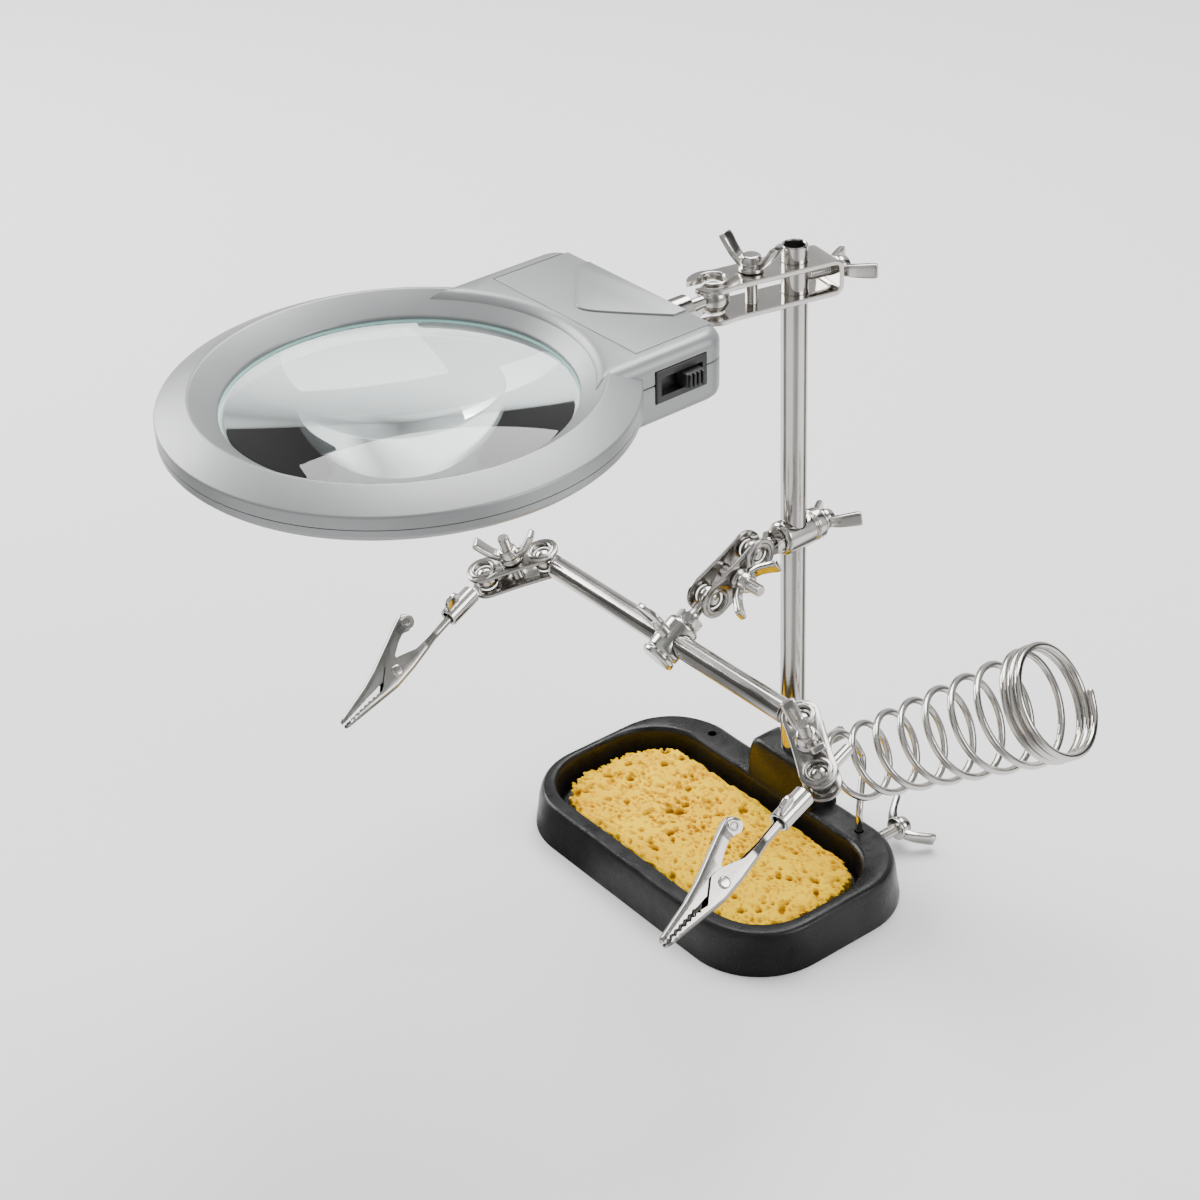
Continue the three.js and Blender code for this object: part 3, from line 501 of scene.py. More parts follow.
def slab(outline, low, high, edge=0.4):
    """A flat plate in X and Y with quarter-round edges top and bottom."""
    steps = np.linspace(0, np.pi / 2, 4)
    levels = [(edge * (1 - np.sin(t)), low + edge * (1 - np.cos(t))) for t in steps]
    levels += [(pull, high - (z - low)) for pull, z in reversed(levels)]
    rings = [np.column_stack([pulled_in(outline, pull), np.full(len(outline), z)]) for pull, z in levels]
    return lofted(np.array(rings))


UPRIGHT = np.array([[1, 0, 0], [0, 0, -1], [0, 1, 0]])  # turns a plate in X and Y to stand in X and Z
EAR_PATH = [(2.2, 2.2), (4.6, 2.9), (7.0, 4.9), (9.2, 7.7), (10.8, 10.0), (12.05, 11.6)]
EAR_THICK = [3.6, 3.2, 2.7, 2.6, 2.7, 2.5]
EAR_WIDE = [3.6, 4.3, 5.0, 5.4, 5.7, 5.4]


def ear(side):
    """A broad strip swept up and out; its section is (cos a, sin a) to the power 0.45, nearly square."""
    share = np.linspace(0, 1, len(EAR_PATH))
    fine = np.concatenate([np.linspace(0, 0.94, 15), [0.97, 0.99, 1.0]])
    x, z = (np.interp(fine, share, c) for c in np.array(EAR_PATH).T)
    end_round = np.array([1] * 15 + [0.96, 0.86, 0.7])
    thick = np.interp(fine, share, EAR_THICK) * end_round
    wide = np.interp(fine, share, EAR_WIDE) * end_round
    along = np.stack([np.gradient(x), np.gradient(z)], 1)
    along /= np.linalg.norm(along, axis=1)[:, None]
    a = np.linspace(0, 2 * np.pi, 32, endpoint=False)
    across, out = (np.sign(wave) * np.abs(wave) ** 0.45 for wave in (np.cos(a), np.sin(a)))
    lift = out[None] * thick[:, None] / 2
    rings = np.stack([x[:, None] + along[:, 1:] * lift, across[None] * wide[:, None] / 2,
                      z[:, None] - along[:, :1] * lift], -1)
    points, faces = lofted(rings)
    return points * [side, 1, 1], faces


def wing_head():
    """Hub with a stepped collar, and two broad ears that flare up and out of it."""
    hub = softened([(0, 0), (4.5, 0), (4.8, 0.3), (4.8, 1.3), (4.0, 1.9), (4.2, 3.2), (3.6, 5.6), (3.0, 6),
                    (0, 6)], 0.35)
    return merged(turned(hub, 36), ear(1), ear(-1))


def wing_screw(node, joint, spread_to, length):
    """A wing head on a threaded shaft, standing where its joint turns it."""
    at, axis = seat(joint)
    shape = merged(wing_head(), thread(2.4, -length, 0.4))
    make(node, placed(shape, at, axes_from(axis, spread_to)), NICKEL)


wing_screw("post_lock_screw", "post_lock_turn", (0.68, 0, 0.73), 4.2)
wing_screw("leg_lock_screw", "leg_lock_turn", (0.92, 0, -0.38), 18)

# ------------------------------------------------------------ iron holder
# One length of plated spring wire: a straight leg in the base, an open cone of turns that
# holds the iron, and three close turns at its mouth.
COIL_START = np.array([43.9, 40.1, 50.0])
COIL_AXIS = np.array([0.771, 0.285, 0.57])
COIL_AXIS /= np.linalg.norm(COIL_AXIS)
TURN_STEPS = 16
COIL_PITCH, OPEN_TURNS, CLOSE_TURNS, CLOSE_PITCH = 13.2, 6.6, 2.6, 3.3
COIL_RADIUS, COIL_FLARE, WIRE = 14.0, 7.4, 1.4


def through(points, per_span=6):
    """A Catmull-Rom curve through the points."""
    p = np.array(points, float)
    p = np.vstack([2 * p[0] - p[1], p, 2 * p[-1] - p[-2]])
    t = np.linspace(0, 1, per_span, endpoint=False)[None, :, None]
    a, b, c, d = (p[k:len(p) - 3 + k, None] for k in range(4))
    square = (2 * a - 5 * b + 4 * c - d) * t ** 2
    cube = (3 * b - a - 3 * c + d) * t ** 3
    curve = (2 * b + (c - a) * t + square + cube) / 2
    return np.vstack([curve.reshape(-1, p.shape[1]), p[-2]])


def wire(path, radius, around=12):
    """A round section carried along a path without twist, with domed ends."""
    along = np.gradient(path, axis=0)
    along /= np.linalg.norm(along, axis=1)[:, None]
    side = np.cross(along[0], [0.31, 0.17, 0.93])
    sides = []
    for t in along:
        side = side - np.dot(side, t) * t
        side /= np.linalg.norm(side)
        sides.append(side)
    sides = np.array(sides)
    up = np.cross(along, sides)
    a = np.linspace(0, 2 * np.pi, around, endpoint=False)
    ring = np.cos(a)[None, :, None] * sides[:, None] + np.sin(a)[None, :, None] * up[:, None]
    body = path[:, None] + radius * ring
    dome = [(0.35, 0.92), (0.8, 0.6)]
    head = [path[0] - along[0] * radius * s + radius * w * ring[0] for s, w in reversed(dome)]
    tail = [path[-1] + along[-1] * radius * s + radius * w * ring[-1] for s, w in dome]
    return lofted(np.concatenate([np.array(head), body, np.array(tail)]))


def coil_path():
    """Leg up out of the base, then a helix about the slanted axis with a growing radius."""
    down = np.array([0, 0, -1]) + COIL_AXIS * COIL_AXIS[2]
    down /= np.linalg.norm(down)
    side = np.cross(COIL_AXIS, down)
    last_step = int((OPEN_TURNS + CLOSE_TURNS + 1) * TURN_STEPS)
    turn = np.arange(3, last_step + 1) / TURN_STEPS - 1
    wound = np.minimum(turn, OPEN_TURNS)
    radius = COIL_RADIUS + COIL_FLARE * np.clip(wound / OPEN_TURNS, 0, 1)
    along = COIL_PITCH * wound + CLOSE_PITCH * np.clip(turn - OPEN_TURNS, 0, None)
    angle = 2 * np.pi * turn
    helix = (COIL_START + COIL_AXIS * along[:, None] + down * (radius * np.cos(angle))[:, None]
             + side * (radius * np.sin(angle))[:, None])
    leg = np.array([[LEG_X, LEG_Y, z] for z in (4, 18, 29)])
    return through(np.vstack([leg, helix]), 4)


make("iron_spring", wire(coil_path(), WIRE), NICKEL)

# ------------------------------------------------------------ top bracket
# One strip of plated steel bent into a U round the post. Its two round ends are drilled
# with a lip and grip the magnifier's ball when the wing screw between them is tightened.
bracket_at = seat("bracket_swing")[0]
ball_at, across = seat("magnifier_tilt")
BRACKET_AXES = np.column_stack([across, np.cross([0, 0, 1], across), [0, 0, 1]])
BALL_REACH, SCREW_REACH, NOSE, MOUTH_HALF = 33.6, 18.0, 9.6, 3.2
STRIP_HALF, STRIP_MID, BEND_AT, BEND = 8.5, 6.0, 15.0, 3.0


def strip_section(half, thick=2.0, edge=0.35):
    """Outline of a flat strip with eased edges, as (across, out) pairs."""
    h = thick / 2
    half = max(half, edge * 1.2)
    return np.array([(-half, -h + edge), (-half, h - edge), (-half + edge, h), (half - edge, h),
                     (half, h - edge), (half, -h + edge), (half - edge, -h), (-half + edge, -h)])


def bracket_strip():
    """The section carried round a U in Y and Z, its width following the round ends."""
    arm_y = -BALL_REACH - NOSE * np.sin(np.linspace(np.pi / 2, 0, 14))
    arm_y = np.concatenate([arm_y, np.linspace(-BALL_REACH, BEND_AT - BEND, 12)[1:]])
    upper = np.column_stack([arm_y, np.full(len(arm_y), STRIP_MID)])
    a = np.linspace(np.pi / 2, 0, 7)
    bend = np.column_stack([BEND_AT - BEND + BEND * np.cos(a), STRIP_MID - BEND + BEND * np.sin(a)])[1:]
    half_path = np.vstack([upper, bend])
    path = np.vstack([half_path, (half_path * [1, -1])[::-1]])
    along = np.gradient(path, axis=0)
    along /= np.linalg.norm(along, axis=1)[:, None]
    out = np.column_stack([-along[:, 1], along[:, 0]])
    rings = []
    for (y, z), (oy, oz) in zip(path, out):
        round_end = np.sqrt(max(NOSE ** 2 - (y + BALL_REACH) ** 2, 0.0))
        section = strip_section(max(round_end, STRIP_HALF) if y > -BALL_REACH else round_end)
        rings.append(np.column_stack([section[:, 0], y + oy * section[:, 1], z + oz * section[:, 1]]))
    return lofted(np.array(rings))


def brick(low, high):
    """A plain block between two corners, used as a cutter."""
    (x0, y0, z0), (x1, y1, z1) = low, high
    loop = np.array([(x0, y0), (x1, y0), (x1, y1), (x0, y1)])
    return lofted(np.array([np.column_stack([loop, np.full(4, z)]) for z in (z0, z1)]))


bracket_drills = [placed(round_bar(radius, -12, 12, around), (0, -at, 0)) for radius, at, around in (
    (POST_OUTER + 0.3, 0, 40), (4.3, BALL_REACH, 40), (2.7, SCREW_REACH, 24))]
bracket_drills.append(brick((-MOUTH_HALF, -BALL_REACH - 12, -12), (MOUTH_HALF, -BALL_REACH, 12)))
lip_section = softened([(4.2, 0), (5.6, 0), (5.9, 0.9), (5.2, 1.25), (4.2, 0.5), (4.2, 0)], 0.3)
lip_ring = carved(turned(lip_section, 40, closed=True), brick((-MOUTH_HALF, -12, -1), (MOUTH_HALF, 0, 3)))
lips = [placed(lip_ring, (0, -BALL_REACH, 6.9 * s), np.diag([1, 1, s])) for s in (1, -1)]
make("top_bracket", placed(merged(carved(bracket_strip(), *bracket_drills), *lips), bracket_at, BRACKET_AXES),
     NICKEL)
wing_screw("bracket_ball_screw", "bracket_ball_lock_turn", BRACKET_AXES @ [0.92, 0.39, 0], 15)
wing_screw("bracket_end_screw", "bracket_end_lock_turn", BRACKET_AXES @ [0.998, 0, 0.06], 10.6)

# ------------------------------------------------------------ magnifier shells
# Two silver-grey moulded shells that close on the lens and on the lamp's battery box. The
# upper ring slopes out from a ridge and in to the lens, and the seam shows round its side.
magnifier_y = seat("magnifier_roll")[1]
MAG_ROLL = math.radians(1.6)
flat_x = np.cross(magnifier_y, [0, 0, 1])
flat_x /= np.linalg.norm(flat_x)
MAG_Z = np.cross(flat_x, magnifier_y) * math.cos(MAG_ROLL) + flat_x * math.sin(MAG_ROLL)
MAG_AXES = np.column_stack([np.cross(magnifier_y, MAG_Z), magnifier_y, MAG_Z])
BALL_FROM_RING = np.array([0, 135.8, -15.8])
MAG_AT = ball_at - MAG_AXES @ BALL_FROM_RING
SILVER = finish("silver_grey_plastic", (0.31, 0.315, 0.32), (0.28, 0.285, 0.29), 0.34, 0.42, 25.0, 3000.0,
                0.8, 0.12, metallic=0.5)
RING_OUTER, RIDGE, OPENING = 79.2, 67.8, 58.8
PARTING, RING_FLOOR, BOX_FLOOR, WALL = -9.8, -14.7, -25.0, 2.0
BOX_HALF, BOX_END, BOX_CORNER = 46.0, 103.0, 9.0
SEAM = 0.15


def box_outline(inner, pull=0.0, arc=40):
    """The battery box seen from above: two sides, two corner arcs, and an arc round the lens."""
    half, end, corner = BOX_HALF - pull, BOX_END - pull, max(BOX_CORNER - pull, 1.0)
    start = math.asin(half / (inner + pull))
    a = np.linspace(-start, start, arc)
    points = [np.column_stack([(inner + pull) * np.sin(a), (inner + pull) * np.cos(a)])]
    t = np.linspace(0, np.pi / 2, 10)
    side = np.linspace(points[0][-1][1], end - corner, 14)[1:-1]
    points.append(np.column_stack([np.full(12, half), side]))
    points.append(np.column_stack([half - corner + corner * np.cos(t), end - corner + corner * np.sin(t)]))
    points.append(points[2][::-1] * [-1, 1])
    points.append(points[1][::-1] * [-1, 1])
    return np.concatenate(points)


def box_stack(inner, levels):
    """The box outline lofted through (pull, z) levels."""
    outlines = [box_outline(inner, pull) for pull, _ in levels]
    rings = [np.column_stack([o, np.full(len(o), z)]) for o, (_, z) in zip(outlines, levels)]
    return lofted(np.array(rings))


COVER_HALF, COVER_NEAR, COVER_FAR, COVER_THICK = 38.7, 68.0, 101.0, 1.8
SWITCH_SLOT = brick((BOX_HALF - 8.3, 69.7, -17), (BOX_HALF + 3, 92.3, -4.7))


def upper_shell():
    """Turned ring section, and the box top with its cover opening and its room for the cells."""
    profile = [(RING_OUTER, PARTING + SEAM), (RING_OUTER, -5.3), (RIDGE, 0), (OPENING, -6.8), (OPENING, -8.1),
               (62.2, -8.1), (64.5, -4.6), (RIDGE, -2.2), (77.2, -6.7), (77.2, PARTING + SEAM)]
    profile = softened(profile + [profile[0]], 0.7)
    ring = turned(profile[:-1], 160, closed=True)
    levels = [(0.5, PARTING + SEAM), (0.12, PARTING + 0.3), (0, PARTING + 0.8), (0, -4.2), (0.25, -3.2),
              (0.9, -2.0), (2.1, -0.8), (3.3, -0.2), (4.6, 0)]
    room = box_stack(65.0, [(3.5, PARTING - 1), (3.5, -WALL)])
    hatch = brick((-COVER_HALF - 0.3, COVER_NEAR - 0.3, -2.1), (COVER_HALF + 0.3, COVER_FAR + 5, 1))
    box = carved(box_stack(63.6, levels), room, hatch, SWITCH_SLOT)
    rails = [brick((s * 38.3 - 2, COVER_NEAR, -3.9), (s * 38.3 + 2, 101.5, -2.15)) for s in (-1, 1)]
    return merged(ring, box, *rails)


def lower_shell():
    """Turned trough under the ring, and the deeper battery box behind it."""
    profile = [(RING_OUTER, PARTING - SEAM), (RING_OUTER, RING_FLOOR + 2.2), (RING_OUTER - 2.2, RING_FLOOR),
               (60.4, RING_FLOOR), (OPENING, RING_FLOOR + 1.5), (OPENING, -11), (60.8, -11), (60.8, -12.7),
               (77.2, -12.7), (77.2, PARTING - SEAM)]
    profile = softened(profile + [profile[0]], 0.8)
    ring = turned(profile[:-1], 160, closed=True)
    levels = [(4.5, BOX_FLOOR), (2.2, BOX_FLOOR + 0.6), (0.7, BOX_FLOOR + 2), (0.1, BOX_FLOOR + 4), (0, -12),
              (0, PARTING - 0.8), (0.12, PARTING - 0.3), (0.5, PARTING - SEAM)]
    room = box_stack(OPENING + 2, [(2, BOX_FLOOR + WALL), (2, PARTING + 1)])
    box = carved(box_stack(60.3, levels), room, SWITCH_SLOT)
    return merged(ring, box)


def on_magnifier(node, shape, material, crease=35):
    """Makes a piece given in the magnifier's own frame: lens centre, y to the ball, z up."""
    return make(node, placed(shape, MAG_AT, MAG_AXES), material, crease)


on_magnifier("magnifier_top_shell", upper_shell(), SILVER, 32)
on_magnifier("magnifier_bottom_shell", lower_shell(), SILVER, 32)

# ------------------------------------------------------------ lens
# A polished double-convex lens of clear glass. Its flat ground rim is held between the
# two shells.
LENS_RIM, LENS_UNDER, LENS_OVER, LENS_DOME = 61.6, -10.7, -8.4, 6.5


def clear_glass():
    """Clear lens glass with the faint green of its own thickness."""
    material, tree, shader, where = new_material("lens_glass")
    shader.inputs["Transmission Weight"].default_value = 1.0
    shader.inputs["IOR"].default_value = 1.5
    faint = noise(tree, where, 12.0, 1.0)
    tree.links.new(spread(tree, faint, 0.0, 0.015), shader.inputs["Roughness"])
    tint = colour_between(tree, faint, (0.86, 0.965, 0.95), (0.89, 0.975, 0.96))
    tree.links.new(tint, shader.inputs["Base Color"])
    return material


def lens_profile():
    """Two domes, each falling off with the square of the radius, on a flat rim."""
    cap = OPENING - 0.5
    r = np.linspace(0, cap, 40)
    fall = 1 - (r / cap) ** 2
    under = np.column_stack([r, LENS_UNDER - LENS_DOME * fall])
    over = np.column_stack([r, LENS_OVER + LENS_DOME * fall])
    return np.vstack([under, [(LENS_RIM, LENS_UNDER), (LENS_RIM, LENS_OVER)], over[::-1]])


def ground_rim_with_painted_glow():
    """The ground edge of the glass: pale and matt, with a faint painted glow that stands in for light trapped
    in the glass.
    """
    material = finish("lens_ground_rim", (0.52, 0.78, 0.74), (0.40, 0.66, 0.62), 0.75, 0.9, 80.0, 2000.0,
                      0.6, 0.3)
    shader = material.node_tree.nodes["Principled BSDF"]
    # Painted glow: a faint teal emission on the rim stands in for light trapped in the glass; the rim is no
    # lamp.
    shader.inputs["Emission Color"].default_value = (0.42, 0.72, 0.68, 1)
    shader.inputs["Emission Strength"].default_value = 0.3
    return material


lens = on_magnifier("lens", turned(lens_profile(), 128), clear_glass(), 20)
lens.data.materials.append(ground_rim_with_painted_glow())
# The rim faces past the opening take the matt rim finish with its painted glow.
centres = np.array([p.center for p in lens.data.polygons]) / MM
from_axis = np.linalg.norm(((centres - MAG_AT) @ MAG_AXES)[:, :2], axis=1)
lens.data.polygons.foreach_set("material_index", (from_axis > OPENING).astype(np.int32))

# ------------------------------------------------------------ battery cover, cells and contacts
# The cover is a flat moulded plate with a raised thumb tab, and slides off over the box's
# end. Two cells lie across the box under it, between a pair of plated contact plates.
ALONG_X = np.array([[0, 0, 1], [0, 1, 0], [-1, 0, 0]])  # a turned shape's z becomes x
CELL_Z = -10.4


def cover_plate():
    """A thin plate, and a tab with its point towards the lens."""
    half, near = COVER_HALF - 0.15, COVER_NEAR + 0.15
    plate = np.array([(-half, near), (half, near), (half, COVER_FAR), (-half, COVER_FAR)])
    x = np.linspace(-26, 26, 41)
    edge = 75 + 0.9 * np.sqrt(x * x + 16) - 3.6
    tab = np.vstack([np.column_stack([x, edge]), [(26, COVER_FAR - 0.3), (-26, COVER_FAR - 0.3)]])
    return merged(slab(plate, -COVER_THICK, -0.02, 0.25), slab(tab, -0.6, 0.75, 0.45))


def dry_cell(y):
    """A can with a sleeve, a shoulder, and a small end cap on its positive end."""
    profile = softened([(0, -25), (5.5, -25), (6.9, -24.6), (7.1, -24), (7.1, 23), (6.6, 23.9), (3.4, 24),
                        (2.8, 24), (2.6, 25.3), (0, 25.3)], 0.3)
    return placed(turned(profile, 40), (0, y, CELL_Z), ALONG_X)


CELL_BLUE = finish("cell_sleeve", (0.06, 0.13, 0.30), (0.045, 0.10, 0.25), 0.2, 0.3, 30.0, 800.0, 0.2, 0.04)
on_magnifier("battery_cover", cover_plate(), SILVER, 32)
for node, y in (("battery_front", 75.7), ("battery_rear", 90.3)):
    on_magnifier(node, dry_cell(y), CELL_BLUE)
for node, x in (("battery_contact_positive", 26.4), ("battery_contact_negative", -26.2)):
    plate = slab(rounded_rect(13, 27, 1.5, 0, 0, 5, 3), -0.4, 0.4, 0.15)
    on_magnifier(node, placed(plate, (x, 85.5, -10.5), ALONG_X), NICKEL)

# ------------------------------------------------------------ lamp switch and lamps
# A black slide switch in the box's right side: a bezel round a slot, and a ribbed lever.
# Two small clear lamps look down through the ring's underside.
SWITCH_BLACK = finish("switch_black", (0.02, 0.02, 0.021), (0.012, 0.012, 0.012), 0.35, 0.5, 80.0, 2500.0,
                      0.6, 0.1)
SIDEWALL = np.array([[0, 0, 1], [1, 0, 0], [0, 1, 0]])  # plate X and Y become the wall's Y and Z


def on_wall(outline, low, high, edge):
    """A plate that lies on the box's right-hand wall; low and high are measured out from it."""
    return placed(slab(outline, low, high, edge), (BOX_HALF, 0, 0), SIDEWALL)


def switch_bezel():
    """The bezel with its slot cut through to a closed back."""
    bezel = on_wall(rounded_rect(22, 11.7, 0.6, 81, -10.85, 4, 3), -8, 0.6, 0.3)
    return carved(bezel, brick((BOX_HALF - 3, 72, -14.2), (BOX_HALF + 2, 90, -7.5)))


def switch_lever():
    """A block with four ribs across its outer face, the last one the tallest."""
    block = on_wall(rounded_rect(8, 5.1, 0.4, 84.6, -10.85, 4, 3), -2.5, 3.4, 0.3)
    ribs = [on_wall(rounded_rect(1.0, 5.1, 0.3, 81.85 + 1.75 * k, -10.85, 3, 2), 3, 4.35 + 0.1 * k, 0.25)
            for k in range(4)]
    return merged(block, *ribs)


on_magnifier("switch_body", switch_bezel(), SWITCH_BLACK)
on_magnifier("switch_slider", switch_lever(), SWITCH_BLACK)
LAMP = finish("lamp_epoxy", (0.88, 0.88, 0.82), (0.84, 0.84, 0.78), 0.05, 0.12, 60.0, 900.0, 0.1, 0.02)
dome_turn = np.linspace(0, np.pi / 2, 8)
lamp_dome = np.column_stack([2.4 * np.sin(dome_turn), -15 - 2.4 * np.cos(dome_turn)])
lamp_profile = np.vstack([lamp_dome, [(2.4, -12.4), (3.3, -12.4), (3.3, -11.2), (0, -11.2)]])
for node, side in (("led_left", -1), ("led_right", 1)):
    on_magnifier(node, placed(turned(lamp_profile, 28), (side * 52.6, 44.2, 0)), LAMP)

# ------------------------------------------------------------ ball studs
# Turned steel studs: a ball, a waisted neck, a collar where there is one, and a threaded
# or plain shaft that screws into its clamp.
TO_Y = np.array([[1, 0, 0], [0, 0, 1], [0, -1, 0]])  # a turned shape's z becomes y
BALL, NECK = 4.6, 2.1  # of the arm's studs; the magnifier's are larger


def ball_stud(radius, reach, neck, collar=None, shaft=2.4):
    """A ball at the origin with its shaft along -z; collar is (radius, near, far) if any."""
    a = np.linspace(0, math.pi - math.asin(neck / radius), 22)
    ball = np.column_stack([radius * np.sin(a), radius * np.cos(a)])
    tail = [(neck, -radius - 0.6)]
    if collar:
        r, near, far = collar
        tail += [(neck + 0.2, -near), (r - 0.4, -near), (r, -near - 0.4), (r, -far + 0.4), (r - 0.4, -far)]
        tail += [(shaft, -far), (shaft, -reach), (0, -reach)]
    else:
        tail += [(neck + 0.1, -reach * 0.5), (shaft, -reach * 0.5 - 0.4), (shaft, -reach), (0, -reach)]
    return turned(np.vstack([ball, tail]), 40)


magnifier_stud = ball_stud(6, 36.2, 2.5, (5.3, 12.5, 32.4))
on_magnifier("magnifier_ball_stud", placed(magnifier_stud, BALL_FROM_RING, TO_Y), NICKEL)

# ------------------------------------------------------------ post clamp
# A turned barrel drilled across for the post. A wing screw locks it from behind, and the
# ball stud screws into its front against a hex nut.
CLAMP_AT = np.array([*POST_AT, seat("mid_link_tilt")[0][2]])
CLAMP_AXES = np.column_stack([(-1, 0, 0), (0, -1, 0), (0, 0, 1)])


def hex_nut(across, height, bore):
    """A six-sided nut whose corners are chamfered on both faces."""
    a = np.linspace(0, 2 * np.pi, 48, endpoint=False)
    flat = across / 2 / np.cos((a + np.pi / 6) % (np.pi / 3) - np.pi / 6)
    rings = []
    for z, limit in ((0, across / 2), (0.5, across), (height - 0.5, across), (height, across / 2)):
        r = np.minimum(flat, limit * 1.02)
        rings.append(np.column_stack([r * np.cos(a), r * np.sin(a), np.full(48, z)]))
    return carved(lofted(np.array(rings)), round_bar(bore, -1, height + 1))


def stud_and_nut(prefix, at, axes, reach, shaft_end):
    """A ball stud standing on a clamp's own y axis, and its lock nut at the clamp's face."""
    point = np.column_stack([axes[:, 0], -axes[:, 2], axes[:, 1]])
    stud = placed(ball_stud(BALL, reach - shaft_end, NECK), at + axes[:, 1] * reach, point)
    make(f"{prefix}_ball_stud", stud, NICKEL)
    make(f"{prefix}_lock_nut", placed(hex_nut(9.5, 3.6, 2.5), at + axes[:, 1] * 8.3, point), NICKEL)


barrel = softened([(0, -13), (5.6, -13), (6.4, -12.2), (6.4, -8.6), (5.4, -8), (5.4, -7.4), (6.8, -6.6),
                   (6.8, 6.6), (5.8, 8), (0, 8)], 0.5)
barrel = placed(turned(barrel, 48), (0, 0, 0), TO_Y)
post_clamp = carved(barrel, round_bar(POST_OUTER + 0.3, -14, 14, 48), edge=0.25)
make("post_clamp_block", placed(post_clamp, CLAMP_AT, CLAMP_AXES), NICKEL)
stud_and_nut("post_clamp", CLAMP_AT, CLAMP_AXES, 20.9, 5.4)
wing_screw("post_clamp_screw", "post_clamp_lock_turn", (0.983, 0, 0.18), 7.8)

# ------------------------------------------------------------ swivel links
# Pairs of pressed plates with three holes. A domed bolt and a wing nut between the balls
# pull the plates together, and each end hole seats on a ball.


PRESSED = finish("pressed_nickel", (0.40, 0.388, 0.368), (0.26, 0.25, 0.236), 0.1, 0.26, 60.0, 900.0, 0.35,
                 0.08, metallic=1.0)
LINK_END, LINK_FACE, LINK_SHEET = 7.0, 5.0, 1.6
BALL_HOLE, BOLT_HOLE = 3.6, 2.7


def link(prefix, from_joint, to_joint, nut_joint, wings):
    """Both plates, the bolt and the nut, with x from ball to ball and z along the bolt."""
    start, normal = seat(nut_joint)
    a, b = seat(from_joint)[0], seat(to_joint)[0]
    pitch = np.linalg.norm(b - a)
    axes = axes_from(normal, b - a)
    t = np.linspace(-np.pi / 2, np.pi / 2, 24)
    left = -LINK_END * np.column_stack([np.cos(t), np.sin(t)])
    right = np.array([pitch, 0]) - left
    waist = np.linspace(pitch, 0, 14)[1:-1]
    top_side = np.column_stack([waist, LINK_END - 0.35 * np.sin(np.pi * waist / pitch)])
    outline = np.vstack([right, top_side, left, (top_side * [1, -1])[::-1]])
    drills = [placed(round_bar(r, -9, 9, 36), (x, 0, 0))
              for x, r in ((0, BALL_HOLE), (pitch / 2, BOLT_HOLE), (pitch, BALL_HOLE))]
    lip = softened([(3.65, -0.3), (5.6, -0.3), (5.3, 0.35), (4.3, 0.55), (3.65, 0.2), (3.65, -0.3)], 0.25)
    lip = turned(lip, 40, closed=True)
    for name, s in (("outer", 1), ("inner", -1)):
        low, high = sorted((s * (LINK_FACE - LINK_SHEET), s * LINK_FACE))
        plate = carved(slab(outline, low, high, 0.4), *drills, edge=0.22)
        lips = [placed(lip, (x, 0, LINK_FACE * s), np.diag([1, 1, s])) for x in (0, pitch)]
        make(f"{prefix}_link_plate_{name}", placed(merged(plate, *lips), a, axes), PRESSED)
    middle = a + (b - a) / 2
    head = softened([(0, -8.2), (2.2, -8.0), (4.0, -7.1), (4.4, -5.9), (4.4, -5.35), (2.4, -5.3), (2.4, -5),
                     (0, -5)], 0.3)
    bolt = merged(turned(head, 36), thread(2.38, -5.2, 17.4))
    make(f"{prefix}_link_bolt", placed(bolt, middle, axes), NICKEL)
    spread_to = axes @ [math.cos(wings), math.sin(wings), 0]
    nut = placed(wing_head(), (0, 0, 5.3))
    make(f"{prefix}_link_wing_nut", placed(nut, middle, axes_from(axes[:, 2], spread_to)), NICKEL)


link("mid", "mid_link_tilt", "arm_clamp_tilt", "mid_nut_turn", math.radians(10))

# ------------------------------------------------------------ arm clamp and cross arm
# A turned barrel with a flange holds the cross tube; a spade thumb screw locks it. Each
# end of the tube is plugged by a flanged stud that carries a ball.
arm_ball, left_ball, right_ball = (
    seat(joint)[0] for joint in ("arm_clamp_tilt", "left_link_swing", "right_link_swing"))
TUBE_OUTER, TUBE_BORE = 4.5, 3.5
ARM_AT = np.array([POST_AT[0], left_ball[1], left_ball[2]])
arm_reach = np.linalg.norm(arm_ball - ARM_AT)
arm_dir = (arm_ball - ARM_AT) / arm_reach
ARM_AXES = np.column_stack([(1, 0, 0), arm_dir, np.cross([1, 0, 0], arm_dir)])
arm_barrel = softened([(0, -9.6), (6.2, -9.6), (7, -9), (7, -7.4), (6.2, -6.7), (6.8, -5.6), (6.8, 6.6),
                       (5.8, 8), (0, 8)], 0.5)
tube_drill = placed(round_bar(TUBE_OUTER + 0.3, -14, 14, 48), (0, 0, 0), ALONG_X)
arm_block = carved(placed(turned(arm_barrel, 48), (0, 0, 0), TO_Y), tube_drill, edge=0.25)
make("arm_clamp_block", placed(arm_block, ARM_AT, ARM_AXES), NICKEL)
stud_and_nut("arm_clamp", ARM_AT, ARM_AXES, arm_reach, 4.9)


def spade_screw(length, radius, half, height, neck):
    """A thread with a short plain neck that is forged flat into an oval spade."""
    t = np.linspace(-0.28 * np.pi, 1.28 * np.pi, 40)
    oval = np.column_stack([half * np.cos(t), neck + height * (0.46 + 0.53 * np.sin(t))])
    oval = np.vstack([[(radius * 0.9, neck - 1.6)], oval, [(-radius * 0.9, neck - 1.6)]])
    spade = placed(slab(oval, -0.95, 0.95, 0.45), (0, 0, 0), UPRIGHT)
    shank = [(0, neck - 2.4), (radius, neck - 2.4), (radius, neck - 0.6), (radius * 0.6, neck + 1),
             (0, neck + 1)]
    return merged(spade, turned(shank, 24), thread(radius, -length, neck - 2.2))


